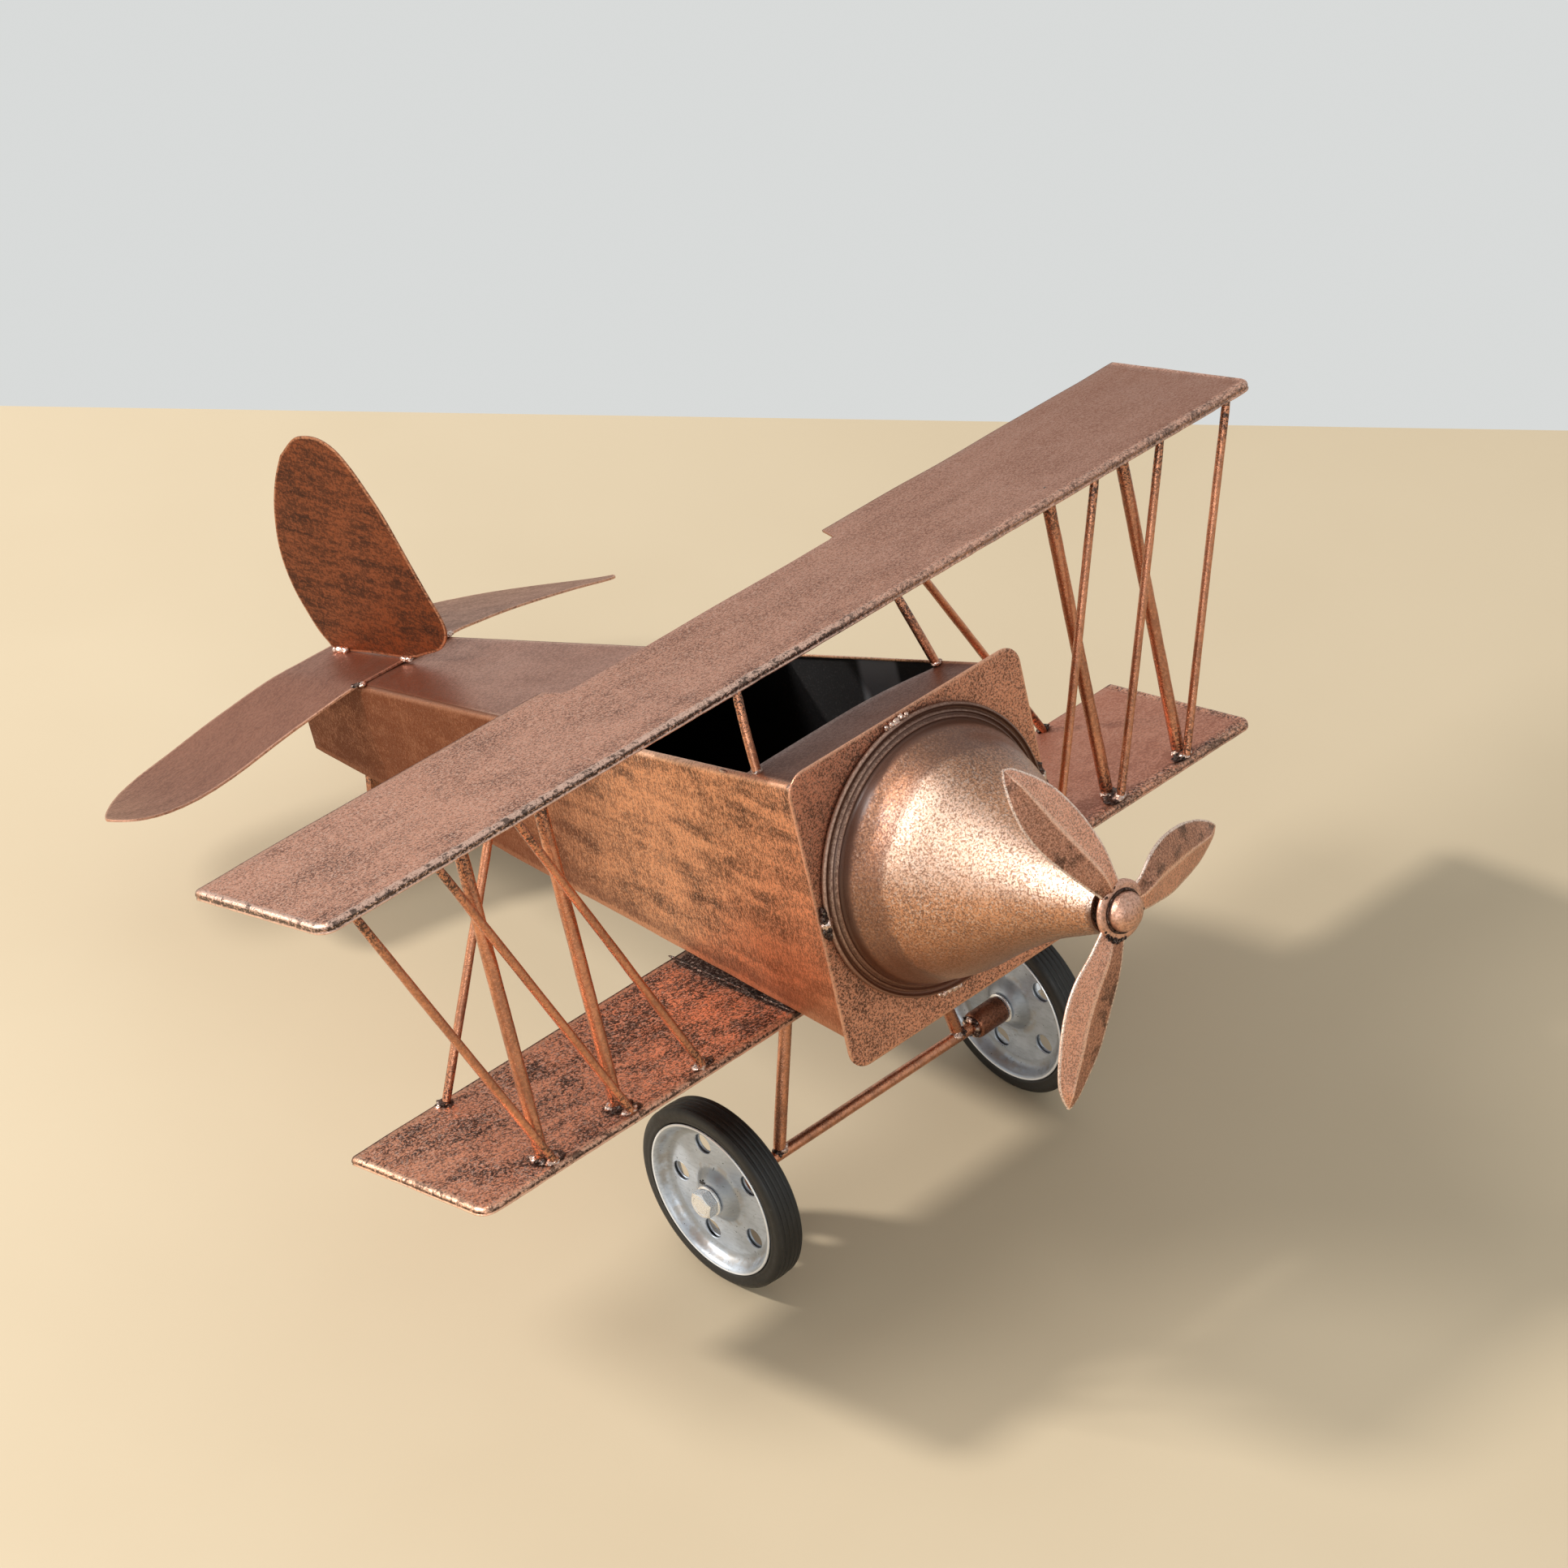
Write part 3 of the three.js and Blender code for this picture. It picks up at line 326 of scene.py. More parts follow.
def wing_zones(lead, drop, tip_x, chord, tilt, base_edge, black=0.9):
    t = math.tan(math.radians(tilt))

    def z(k, col, r, m, dark, pale, g):
        ax = k.math("SUBTRACT", tip_x, k.math("ABSOLUTE", k.x))          # distance in from the tip
        ay = k.math("SUBTRACT", k.y, lead)                               # distance back from the leading edge
        inset = k.math("MINIMUM", ax, ay)
        rag = k.math("MULTIPLY", k.math("SUBTRACT", k.noise(0.28, 4, 0.7), 0.5), 5.0)
        ins = k.math("ADD", inset, rag)
        # bright fold: wear with a painted highlight, fainter on the left wing
        fold = k.math("MULTIPLY", k.math("MULTIPLY", k.span(ins, 3.8, 1.9), k.span(ins, -1.4, 0.3)), k.span(g, 0.62, 0.47, 0.10, 1.0))
        fold = k.math("MULTIPLY", fold, k.span(k.x, -40, 60, 1.0, 0.40))
        col = k.mix(k.math("MULTIPLY", fold, 0.85), col, base_edge)
        # black mottled line half way down the turned edge, light hem below
        depth = k.math("SUBTRACT", k.math("SUBTRACT", lead_z, k.math("MULTIPLY", k.y, t)), k.z)
        mott = k.noise(0.60, 5, 0.8, stretch=(1, 1, 1.2), shift=(5, 2, 1))
        line = k.math("MULTIPLY", k.math("MULTIPLY", k.span(depth, 1.0, 1.8), k.span(depth, drop - 0.8, drop - 1.5)), k.span(mott, 0.455, 0.485))
        line = k.math("MULTIPLY", line, k.span(inset, 2.6, 1.4))
        # splashes of the same black creep over the fold in places
        splash = k.math("MULTIPLY", k.math("MULTIPLY", k.span(k.noise(0.20, 5, 0.78, shift=(9, 4, 2)), 0.535, 0.565), k.span(inset, 3.6, 1.4)), 0.85)
        ink = k.math("MULTIPLY", k.math("MAXIMUM", line, splash), black)
        ink = k.math("MULTIPLY", ink, k.span(k.x, -10, 60, 1.0, 0.55))
        col = k.mix(ink, col, BLACK)
        hem = k.math("MULTIPLY", k.math("MULTIPLY", k.span(depth, drop - 1.3, drop - 0.7), k.span(inset, 2.6, 1.4)), k.span(mott, 0.60, 0.54))
        col = k.mix(k.math("MULTIPLY", k.math("MULTIPLY", hem, k.span(k.x, -10, 60, 1.0, 0.40)), 0.9), col, base_edge)
        # pale rub line just in from the trailing edge, dark beyond it
        back = k.math("SUBTRACT", chord + lead, k.y)
        rub = k.math("MULTIPLY", k.math("MULTIPLY", k.span(back, 4.2, 2.8), k.span(back, 1.0, 1.6)), k.span(g, 0.64, 0.5))
        col = k.mix(k.math("MULTIPLY", rub, 0.5), col, (0.62, 0.34, 0.22))
        col = k.mix(k.math("MULTIPLY", k.span(back, 1.3, 0.6), 0.75), col, dark)
        if tip_x < 290:
            calm = k.math("MULTIPLY", k.math("MULTIPLY", k.span(k.x, 20, 90), k.span(inset, 3.5, 8)), 0.72)
            col = k.mix(calm, col, (0.50, 0.205, 0.13))
        else:
            far = k.math("MULTIPLY", k.math("MULTIPLY", k.span(k.x, -200, 280, smooth=False), k.span(inset, 2.5, 6)), 0.74)
            col = k.mix(far, col, (0.29, 0.130, 0.082))
        return col, k.lerp(ink, k.lerp(fold, r, 0.3), 0.35), m

    lead_z = {300.0: 5.3, 258.6: -166.3}[tip_x]
    return z


def upper_wave(k):
    near = k.math("MINIMUM", k.span(k.y, 30, 6), 1.0)
    return k.math("MULTIPLY", k.math("MULTIPLY", near, k.span(k.noise(0.05, 3, 0.6), 0.40, 0.62)), 0.28)


M_UPPER = copper("copper_upper_wing", (0.86, 0.42, 0.275), (0.085, 0.038, 0.027), (0.97, 0.70, 0.56), streak=(0.16, 0.8, 1), streaks=0.22,
                 blotch=0.36, speck=0.70, pale_speck=0.48, rough=0.40, seed=5.0, grain=1.25,
                 zones=wing_zones(0.0, 4.9, 300.0, 99.5, 4.1, (0.88, 0.60, 0.48)), wave=upper_wave)


def lower_wave(k):
    w = k.noise(0.050, 4, 0.62, stretch=(0.7, 1.2, 1), rot=(0, 0, 0.4), dist=0.6)
    rt = k.math("ABSOLUTE", k.x)
    root = k.math("MULTIPLY", k.span(k.math("ADD", rt, k.math("MULTIPLY", k.y, 0.0903)), 65.6, 64.2), 1.3)
    feet = None
    for fx, fy, fr in ((214, 11, 9.0), (165, 14, 9.0), (212.3, 5, 5.5), (164.2, 5, 5.5), (119.1, 5, 5.0), (203, 98, 5.5)):
        ex = k.math("SUBTRACT", rt, fx)
        ey = k.math("SUBTRACT", k.y, fy)
        dd = k.math("SQRT", k.math("ADD", k.math("MULTIPLY", ex, ex), k.math("MULTIPLY", ey, ey)))
        near = k.span(k.math("ADD", dd, k.math("MULTIPLY", k.math("SUBTRACT", k.noise(0.22, 4, 0.7), 0.5), 14.0)), fr, fr * 0.45)
        feet = near if feet is None else k.math("MAXIMUM", feet, near)
    a = k.math("ADD", k.math("MULTIPLY", k.span(w, 0.42, 0.66), 0.50), root)
    return k.math("ADD", a, k.math("MULTIPLY", feet, 1.6))


M_LOWER = copper("copper_lower_wing", (0.90, 0.385, 0.225), (0.042, 0.018, 0.013), (0.93, 0.66, 0.54), streak=(0.55, 0.9, 1), streaks=0.25,
                 blotch=0.45, speck=0.74, pale_speck=0.46, rough=0.38, seed=8.0,
                 zones=wing_zones(0.3, 4.0, 258.6, 102.0, 1.35, (0.86, 0.52, 0.36)), wave=lower_wave, relief=1.3)

def fin_zones(k, col, r, m, dark, pale, g):
    e = k.attr("inset")
    rim = k.math("MULTIPLY", k.span(e, 1.7, 0.9), k.span(g, 0.62, 0.46))
    col = k.mix(k.math("MULTIPLY", rim, 0.65), col, (0.62, 0.30, 0.17))
    return col, r, m


def stab_zones(k, col, r, m, dark, pale, g):
    e = k.attr("inset")
    rim = k.math("MULTIPLY", k.span(e, 1.9, 0.9), k.span(g, 0.64, 0.46))
    col = k.mix(k.math("MULTIPLY", rim, 0.75), col, (0.74, 0.42, 0.29))
    return col, r, m


M_FIN = copper("copper_fin", (0.26, 0.066, 0.019), (0.040, 0.014, 0.008), (0.45, 0.18, 0.085), streak=(1, 0.16, 1.2), streaks=0.80, blotch=0.45,
               speck=0.55, pale_speck=0.12, rough=0.46, seed=14.0, zones=fin_zones, fine_stretch=(1, 0.25, 1))
M_STAB = copper("copper_stabilizer", (0.40, 0.172, 0.108), (0.060, 0.030, 0.024), (0.58, 0.35, 0.26), streak=(0.3, 0.9, 1), streaks=0.35,
                blotch=0.35, speck=0.34, pale_speck=0.14, rough=0.42, seed=17.0, zones=stab_zones, fine_stretch=(0.4, 1, 1))
def rod_zones(k, col, r, m, dark, pale, g):
    # soot near the upper wing and round the feet
    hi = k.math("MULTIPLY", k.span(k.z, -34, -4), k.span(g, 0.47, 0.53))
    lo = k.math("MULTIPLY", k.math("MULTIPLY", k.span(k.z, -140, -162), k.span(k.z, -168, -164)), k.span(g, 0.48, 0.54))
    ink = k.math("MAXIMUM", hi, lo)
    col = k.mix(k.math("MULTIPLY", ink, 0.9), col, BLACK)
    return col, k.lerp(ink, r, 0.24), k.lerp(ink, m, 0.6)


def blade_zones(k, col, r, m, dark, pale, g):
    e = k.attr("inset")
    u = k.attr("half")
    shade = k.math("MULTIPLY", k.span(u, 0.50, 0.56), k.span(g, 0.34, 0.62, 0.22, 0.80))
    col = k.mix(shade, col, (0.20, 0.085, 0.052))
    smear = k.span(k.noise(0.11, 4, 0.7, stretch=(0.8, 1, 0.8), shift=(3, 1, 7)), 0.52, 0.66)
    col = k.mix(k.math("MULTIPLY", k.math("MULTIPLY", smear, k.span(u, 0.50, 0.60)), 0.62), col, BLACK)
    crease = k.math("MULTIPLY", k.math("MULTIPLY", k.span(u, 0.42, 0.485), k.span(u, 0.54, 0.505)), k.span(g, 0.66, 0.48))
    col = k.mix(k.math("MULTIPLY", crease, 0.62), col, (0.96, 0.66, 0.50))
    # painted highlight: pale rims along the blade's edges
    rim = k.math("MULTIPLY", k.span(e, 1.3, 0.6), k.span(g, 0.60, 0.46))
    col = k.mix(k.math("MULTIPLY", rim, 0.9), col, (0.99, 0.82, 0.71))
    return col, r, m


M_ROD = copper("copper_rod", (0.74, 0.315, 0.17), (0.032, 0.014, 0.010), (0.94, 0.68, 0.54), streak=(1, 1, 0.22), streaks=0.50, blotch=0.30,
               speck=0.26, pale_speck=0.10, rough=0.26, metal=1.0, seed=26.0, zones=rod_zones, coat=0.3)
M_BOSS = copper("copper_boss", (0.34, 0.135, 0.075), (0.03, 0.014, 0.010), (0.7, 0.42, 0.30), streak=(1, 1, 1), streaks=0.3, blotch=0.4,
                speck=0.5, pale_speck=0.12, rough=0.34, seed=29.0)
M_BLADE = copper("copper_blade", (0.95, 0.48, 0.32), (0.095, 0.045, 0.034), (0.96, 0.74, 0.62), streak=(0.7, 1, 0.7), streaks=0.18, blotch=0.2,
                speck=0.55, pale_speck=0.35, rough=0.38, seed=41.0, grain=1.7, zones=blade_zones)
M_HUB = copper("copper_hub", (0.76, 0.43, 0.31), (0.09, 0.045, 0.034), (0.88, 0.66, 0.55), streaks=0.1, blotch=0.25, speck=0.42,
               pale_speck=0.30, rough=0.36, seed=44.0)
# weld beads: near-white flecks are painted glints as well as wear
M_WELD = copper("copper_weld", (0.74, 0.50, 0.40), (0.03, 0.018, 0.014), (0.95, 0.90, 0.85), streaks=0.0, blotch=0.3, speck=0.5,
                pale_speck=0.6, rough=0.24, seed=52.0, grain=1.1, coat=0.4)
M_CRUST = copper("weld_crust", (0.10, 0.050, 0.036), (0.010, 0.008, 0.008), (0.80, 0.68, 0.60), streaks=0.0, blotch=0.6, speck=0.8,
                 pale_speck=0.30, rough=0.40, seed=57.0, grain=1.1, coat=0.1)
M_FLOORSHEET = copper("copper_dim", (0.20, 0.10, 0.065), (0.02, 0.012, 0.010), (0.45, 0.28, 0.2), streaks=0.4, blotch=0.5, speck=0.6,
                      pale_speck=0.1, rough=0.55, seed=61.0)


def inside_material():
    k = Mat("inside_black")
    # painted light: a pale grey band across the inner wall, with more grit showing in it
    band = k.math("MULTIPLY", k.span(k.y, 22, 26), k.span(k.y, 52, 47))
    grit = k.span(k.noise(0.9, 3, 0.7), 0.55, 0.66)
    col = k.mix(k.math("MULTIPLY", band, 0.85), (0.008, 0.007, 0.007), (0.19, 0.19, 0.20))
    col = k.mix(k.math("MULTIPLY", grit, k.lerp(band, 0.10, 0.5)), col, (0.16, 0.15, 0.15))
    return k.done(col, 0.62, 0.2, k.bump(k.noise(1.0, 3, 0.6), 0.0002, 0.5))


M_INSIDE = inside_material()


def zinc_material():
    k = Mat("zinc_disc")
    blot = k.noise(0.05, 4, 0.6)
    streak = k.noise(0.5, 4, 0.65, stretch=(1, 0.35, 1.4), rot=(0.9, 0, 0))
    col = k.mix(k.span(blot, 0.35, 0.68), (0.40, 0.44, 0.49), (0.54, 0.59, 0.65))
    col = k.mix(k.math("MULTIPLY", k.span(streak, 0.45, 0.72), 0.40), col, (0.22, 0.25, 0.29))
    rr = k.attr("radius")
    # painted shade: warm darker ring on the rim wall
    painted_rim_shade = k.math("MULTIPLY", k.math("MULTIPLY", k.span(rr, 33.6, 36.2), k.span(rr, 39.6, 38.2)), k.span(k.noise(0.12, 4, 0.6), 0.40, 0.60))
    col = k.mix(k.math("MULTIPLY", painted_rim_shade, 0.55), col, (0.30, 0.24, 0.17))
    # painted shade: warm darker ring round the hub
    hub = k.math("MULTIPLY", k.math("MULTIPLY", k.span(rr, 13.4, 15.5), k.span(rr, 19.5, 17.0)), k.span(k.noise(0.2, 3, 0.6, shift=(4, 1, 2)), 0.42, 0.6))
    col = k.mix(k.math("MULTIPLY", hub, 0.5), col, (0.33, 0.29, 0.24))
    dots = k.span(k.noise(0.62, 2, 0.5, shift=(3, 3, 3)), 0.70, 0.735)
    col = k.mix(k.math("MULTIPLY", dots, 0.85), col, (0.03, 0.03, 0.03))
    # painted shade: grey darker ring in the dish of the rim
    painted_dish_shade = k.math("MULTIPLY", k.span(rr, 32.6, 34.0), k.span(rr, 37.2, 35.2))
    col = k.mix(k.math("MULTIPLY", painted_dish_shade, 0.45), col, (0.20, 0.205, 0.20))
    # painted shade: grey darker ring round the foot of the hub dome
    foot = k.math("MULTIPLY", k.span(rr, 15.8, 14.4), k.span(rr, 8.0, 12.5))
    col = k.mix(k.math("MULTIPLY", foot, 0.55), col, (0.19, 0.20, 0.205))
    lip = k.span(rr, 40.2, 40.8)
    col = k.mix(lip, col, (0.84, 0.86, 0.88))
    rough = k.math("ADD", 0.30, k.math("MULTIPLY", k.span(blot, 0.3, 0.7), 0.22))
    return k.done(col, rough, 0.5, k.bump(k.noise(0.35, 4, 0.6), 0.0003, 0.35))


M_ZINC = zinc_material()


def steel_material():
    k = Mat("bolt_steel")
    n = k.noise(0.9, 4, 0.65)
    col = k.mix(k.span(n, 0.4, 0.65), (0.92, 0.94, 0.96), (0.84, 0.86, 0.88))
    spot = k.span(k.noise(0.30, 3, 0.6, shift=(7, 3, 1)), 0.70, 0.76)
    col = k.mix(k.math("MULTIPLY", spot, 0.5), col, (0.10, 0.09, 0.08))
    return k.done(col, k.span(n, 0.3, 0.7, 0.22, 0.30), 0.78, k.bump(n, 0.00004, 0.2))


M_STEEL = steel_material()


def rubber_material():
    k = Mat("tyre_rubber")
    n = k.noise(0.25, 4, 0.6)
    scuff = k.span(k.noise(0.5, 4, 0.7, stretch=(0.4, 1, 1)), 0.60, 0.72)
    col = k.mix(k.span(n, 0.35, 0.7), (0.007, 0.0066, 0.006), (0.015, 0.014, 0.012))
    col = k.mix(k.math("MULTIPLY", scuff, 0.22), col, (0.11, 0.10, 0.095))
    return k.done(col, k.span(n, 0.3, 0.7, 0.42, 0.58), 0.0, k.bump(k.noise(1.4, 3, 0.6), 0.00012, 0.5), **{"Specular IOR Level": 0.45})


M_RUBBER = rubber_material()


def paint_spot():
    k = Mat("paint_spot")
    return k.done(k.mix(k.noise(0.8, 2), (0.012, 0.012, 0.013), (0.04, 0.04, 0.04)), 0.4, 0.0, k.bump(k.noise(1.2, 2), 0.0002, 0.5))


M_SPOT = paint_spot()

# ------------------------------------------------------------------ mesh helpers
BODY_ROOT = "airframe"


def make(name, verts, faces, mats, body=BODY_ROOT, replaces=(), angle=38, index=None, radius=None,
         solid=None, bevel=None, segs=2, world=False, inner=None, rimmat=None, inset=None, half=None):
    me = bpy.data.meshes.new(name)
    co = np.asarray(verts, float) if world else A(verts)
    me.from_pydata([tuple(v) for v in co], [], [tuple(f) for f in faces])
    me.validate()
    for m in (mats if isinstance(mats, (list, tuple)) else [mats]):
        me.materials.append(m)
    if index is not None:
        me.polygons.foreach_set("material_index", np.asarray(index, np.int32))
    if radius is not None:
        at = me.attributes.new("radius", "FLOAT", "POINT")
        at.data.foreach_set("value", np.asarray(radius, np.float32))
    if inset is not None:
        at = me.attributes.new("inset", "FLOAT", "POINT")
        at.data.foreach_set("value", np.asarray(inset, np.float32))
    if half is not None:
        at = me.attributes.new("half", "FLOAT", "POINT")
        at.data.foreach_set("value", np.asarray(half, np.float32))
    o = bpy.data.objects.new(name, me)
    bpy.context.scene.collection.objects.link(o)
    if solid:
        mod = o.modifiers.new("thick", "SOLIDIFY")
        mod.thickness = solid / 1000.0
        mod.offset = -1.0
        mod.use_even_offset = True
        if inner is not None:
            mod.material_offset = inner
        if rimmat is not None:
            mod.material_offset_rim = rimmat
    if bevel:
        mod = o.modifiers.new("edge", "BEVEL")
        mod.width = bevel / 1000.0
        mod.segments = segs
        mod.limit_method = "ANGLE"
        mod.angle_limit = math.radians(50)
        mod.harden_normals = False
    if o.modifiers:
        dg = bpy.context.evaluated_depsgraph_get()
        new = bpy.data.meshes.new_from_object(o.evaluated_get(dg))
        o.modifiers.clear()
        old = o.data
        o.data = new
        bpy.data.meshes.remove(old)
        new.name = name
    o.data.polygons.foreach_set("use_smooth", [True] * len(o.data.polygons))
    o.data.set_sharp_from_angle(angle=math.radians(angle))
    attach(o, body)
    if replaces:
        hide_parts(*replaces)
    return o


def join(parts):
    """several (verts, faces) into one"""
    V, F = [], []
    for v, f in parts:
        n = len(V)
        V.extend([tuple(p) for p in v])
        F.extend([tuple(i + n for i in q) for q in f])
    return V, F


def lathe(profile, seg, place, close=True, start=0.0):
    """profile of (r, a); place(r, a, angle) gives the airframe point"""
    V, F = [], []
    n = len(profile)
    ring = []
    for r, a in profile:
        if r < 1e-6:
            ring.append([len(V)])
            V.append(place(0, a, 0))
        else:
            ring.append(list(range(len(V), len(V) + seg)))
            for j in range(seg):
                V.append(place(r, a, start + 2 * math.pi * j / seg))
    last = n if close else n - 1
    for i in range(last):
        p, q = ring[i], ring[(i + 1) % n]
        if len(p) == 1 and len(q) == 1:
            continue
        for j in range(seg):
            k = (j + 1) % seg
            if len(p) == 1:
                F.append((p[0], q[k], q[j]))
            elif len(q) == 1:
                F.append((p[j], p[k], q[0]))
            else:
                F.append((p[j], p[k], q[k], q[j]))
    return V, F


def outward(name_verts_faces):
    V, F = name_verts_faces
    bm = bmesh.new()
    vs = [bm.verts.new(v) for v in V]
    for f in F:
        try:
            bm.faces.new([vs[i] for i in f])
        except ValueError:
            pass
    bmesh.ops.recalc_face_normals(bm, faces=bm.faces)
    bm.verts.index_update()
    V2 = [tuple(v.co) for v in bm.verts]
    F2 = [tuple(v.index for v in f.verts) for f in bm.faces]
    bm.free()
    return V2, F2


def spline(points, n):
    """smooth curve through points (Catmull-Rom by chord length), n samples"""
    p = np.asarray(points, float)
    t = np.concatenate([[0], np.cumsum(np.sqrt(((p[1:] - p[:-1]) ** 2).sum(1)) ** 0.5)])
    out = []
    for u in np.linspace(0, t[-1], n):
        i = int(min(max(np.searchsorted(t, u, "right") - 1, 0), len(p) - 2))
        p0, p1, p2, p3 = p[max(i - 1, 0)], p[i], p[i + 1], p[min(i + 2, len(p) - 1)]
        t0 = t[i - 1] if i > 0 else t[i] - (t[i + 1] - t[i])
        t1, t2 = t[i], t[i + 1]
        t3 = t[i + 2] if i + 2 < len(p) else t2 + (t2 - t1)
        m1 = (p2 - p0) / (t2 - t0) * (t2 - t1) if i > 0 else (p2 - p1)
        m2 = (p3 - p1) / (t3 - t1) * (t2 - t1) if i + 2 < len(p) else (p2 - p1)
        s = (u - t1) / (t2 - t1)
        h = (2 * s**3 - 3 * s**2 + 1, s**3 - 2 * s**2 + s, -2 * s**3 + 3 * s**2, s**3 - s**2)
        out.append(h[0] * p1 + h[1] * m1 + h[2] * p2 + h[3] * m2)
    return np.array(out)


def wob(x, y, z, scale, amp, seed=0.0):
    return amp * noise.noise(Vector((x * scale + seed, y * scale - seed, z * scale + 3.1 * seed)))


def blob(c, radii, seed=0, rough=0.25, sub=3, axis=None):
    """lumpy weld bead"""
    bm = bmesh.new()
    bmesh.ops.create_icosphere(bm, subdivisions=sub, radius=1.0)
    V = []
    for v in bm.verts:
        d = v.co.normalized()
        k = 1 + rough * noise.noise(d * 1.7 + Vector((seed, seed * 2.3, -seed))) + 0.45 * rough * noise.noise(d * 4.3 + Vector((-seed, seed, seed)))
        p = Vector((d.x * radii[0] * k, d.y * radii[1] * k, d.z * radii[2] * k))
        if axis is not None:
            p = Vector((0, 0, 1)).rotation_difference(Vector(axis)) @ p
        V.append((c[0] + p.x, c[1] + p.y, c[2] + p.z))
    F = [tuple(v.index for v in f.verts) for f in bm.faces]
    bm.free()
    return V, F


def rod(a, b, r, seg=18, seed=0.0, step=5.0, bow=0.35, lump=0.02, flat_ends=True):
    """drawn wire with slight dents and a slight bow"""
    a, b = Vector(a), Vector(b)
    d = b - a
    L = d.length
    d.normalize()
    u = d.orthogonal().normalized()
    w = d.cross(u)
    n = max(4, int(L / step))
    V, F = [], []
    bend = Vector((noise.noise(Vector((seed, 1, 2))), noise.noise(Vector((seed, 5, 1))), 0))
    for i in range(n + 1):
        t = i / n
        c = a + d * (L * t) + (u * bend.x + w * bend.y) * bow * 2 * math.sin(math.pi * t)
        for j in range(seg):
            an = 2 * math.pi * j / seg
            q = u * math.cos(an) + w * math.sin(an)
            k = r * (1 + lump * 2 * noise.noise(Vector((q.x * 1.2 + seed, q.y * 1.2, t * L * 0.09 + q.z))))
            k *= 1 - 0.10 * (1 if i in (0, n) else 0)
            V.append(tuple(c + q * k))
    for i in range(n):
        for j in range(seg):
            k = (j + 1) % seg
            F.append((i * seg + j, i * seg + k, (i + 1) * seg + k, (i + 1) * seg + j))
    F.append(tuple(range(seg - 1, -1, -1)))
    F.append(tuple(n * seg + j for j in range(seg)))
    return V, F


halfW = lambda y: 63.2 - 0.0903 * y
topZ = lambda y: -37.2 - 0.1367 * y
botZ = lambda y: -164.6 + 0.056 * y

# ------------------------------------------------------------------ fuselage shell
def fuselage():
    ys = sorted(set([-48.5, -46, -40, -32, -24, -16, -9, -4] + list(np.linspace(6, 100, 12).round(2)) + list(np.linspace(108, 420, 40).round(2))))
    R = 3.0
    side_n, bend_n, deck_n = 14, 6, 14
    cols = 2 * side_n + 2 * bend_n + deck_n + 1

    def section(y):
        w, t, b = halfW(y), topZ(y), botZ(y)
        pts = []
        for i in range(side_n):
            s = i / side_n
            pts.append((-w, b + (t - R - b) * s))
        for i in range(bend_n):
            a = math.radians(180 - 90 * i / bend_n)
            pts.append((-w + R + R * math.cos(a), t - R + R * math.sin(a)))
        for i in range(deck_n + 1):
            pts.append((-w + R + (2 * w - 2 * R) * i / deck_n, t))
        for i in range(1, bend_n + 1):
            a = math.radians(90 - 90 * i / bend_n)
            pts.append((w - R + R * math.cos(a), t - R + R * math.sin(a)))
        for i in range(1, side_n + 1):
            s = i / side_n
            pts.append((w, t - R + (b - t + R) * s))
        return pts

    V, F, I = [], [], []
    d0, d1 = side_n + bend_n, side_n + bend_n + deck_n
    for yi, y in enumerate(ys):
        for ci, (x, z) in enumerate(section(y)):
            yy = y
            if d0 <= ci <= d1 and -48.5 < y <= -4:
                u = x / halfW(y)
                edge = -2.2 - (9.5 * u * u if u > 0 else 0.8 * u * u)
                yy = y + (edge + 4) * (y + 48.5) / 44.5 * min(1.0, (1 - abs(u)) * 14 + 0.15)
            # the sides and deck are slightly wavy, fixed at their folds and ends
            k = 0.0
            if ci < side_n:
                k = math.sin(math.pi * ci / side_n) ** 0.7
                x += -wob(0, yy, z, 0.016, 1.5, 2.0) * k - wob(0, yy, z, 0.045, 0.5, 6.0) * k - 0.5 * k
            elif ci > cols - 1 - side_n:
                k = math.sin(math.pi * (cols - 1 - ci) / side_n) ** 0.7
                x += wob(9, yy, z, 0.016, 1.5, 4.0) * k + wob(9, yy, z, 0.045, 0.5, 3.0) * k
            elif d0 < ci < d1 and y > 100:
                k = math.sin(math.pi * (ci - d0) / deck_n) ** 0.5
                z += (wob(x, yy, 5, 0.02, 0.9, 7.0) - 0.35) * k * min(1, (y - 100) / 30) * min(1, (420 - y) / 60)
            if ci == 0 or ci == cols - 1:
                z += wob(x, yy, 0, 0.05, 0.5, 1.0)
            V.append((x, yy, z))
    for yi in range(len(ys) - 1):
        open_row = ys[yi] >= -4.01 and ys[yi + 1] <= 100.01
        for ci in range(cols - 1):
            deck = d0 <= ci < d1
            if deck and open_row:
                continue
            a = yi * cols + ci
            F.append((a, a + cols, a + cols + 1, a + 1))
            I.append(1 if deck else 0)
    # orientation check: the deck must face up
    v = [Vector(V[i]) for i in F[0]]
    nrm = (v[1] - v[0]).cross(v[2] - v[1])
    if nrm.x > 0:
        F = [tuple(reversed(f)) for f in F]
    make("fuselage_skin", V, F, [M_SIDE, M_DECK, M_INSIDE, M_INSIDE], replaces=["fuselage_shell"], index=I,
         solid=1.2, bevel=0.25, inner=2, rimmat=0)
    # a small weld bead on the side edge of the opening
    welds.append(("weld", blob((-(halfW(14) - 0.8), 14.0, topZ(14) - 0.4), (1.0, 2.6, 0.8), 3)))


welds = []          # ("weld" or "crust", (verts, faces)) on the airframe
fuselage()

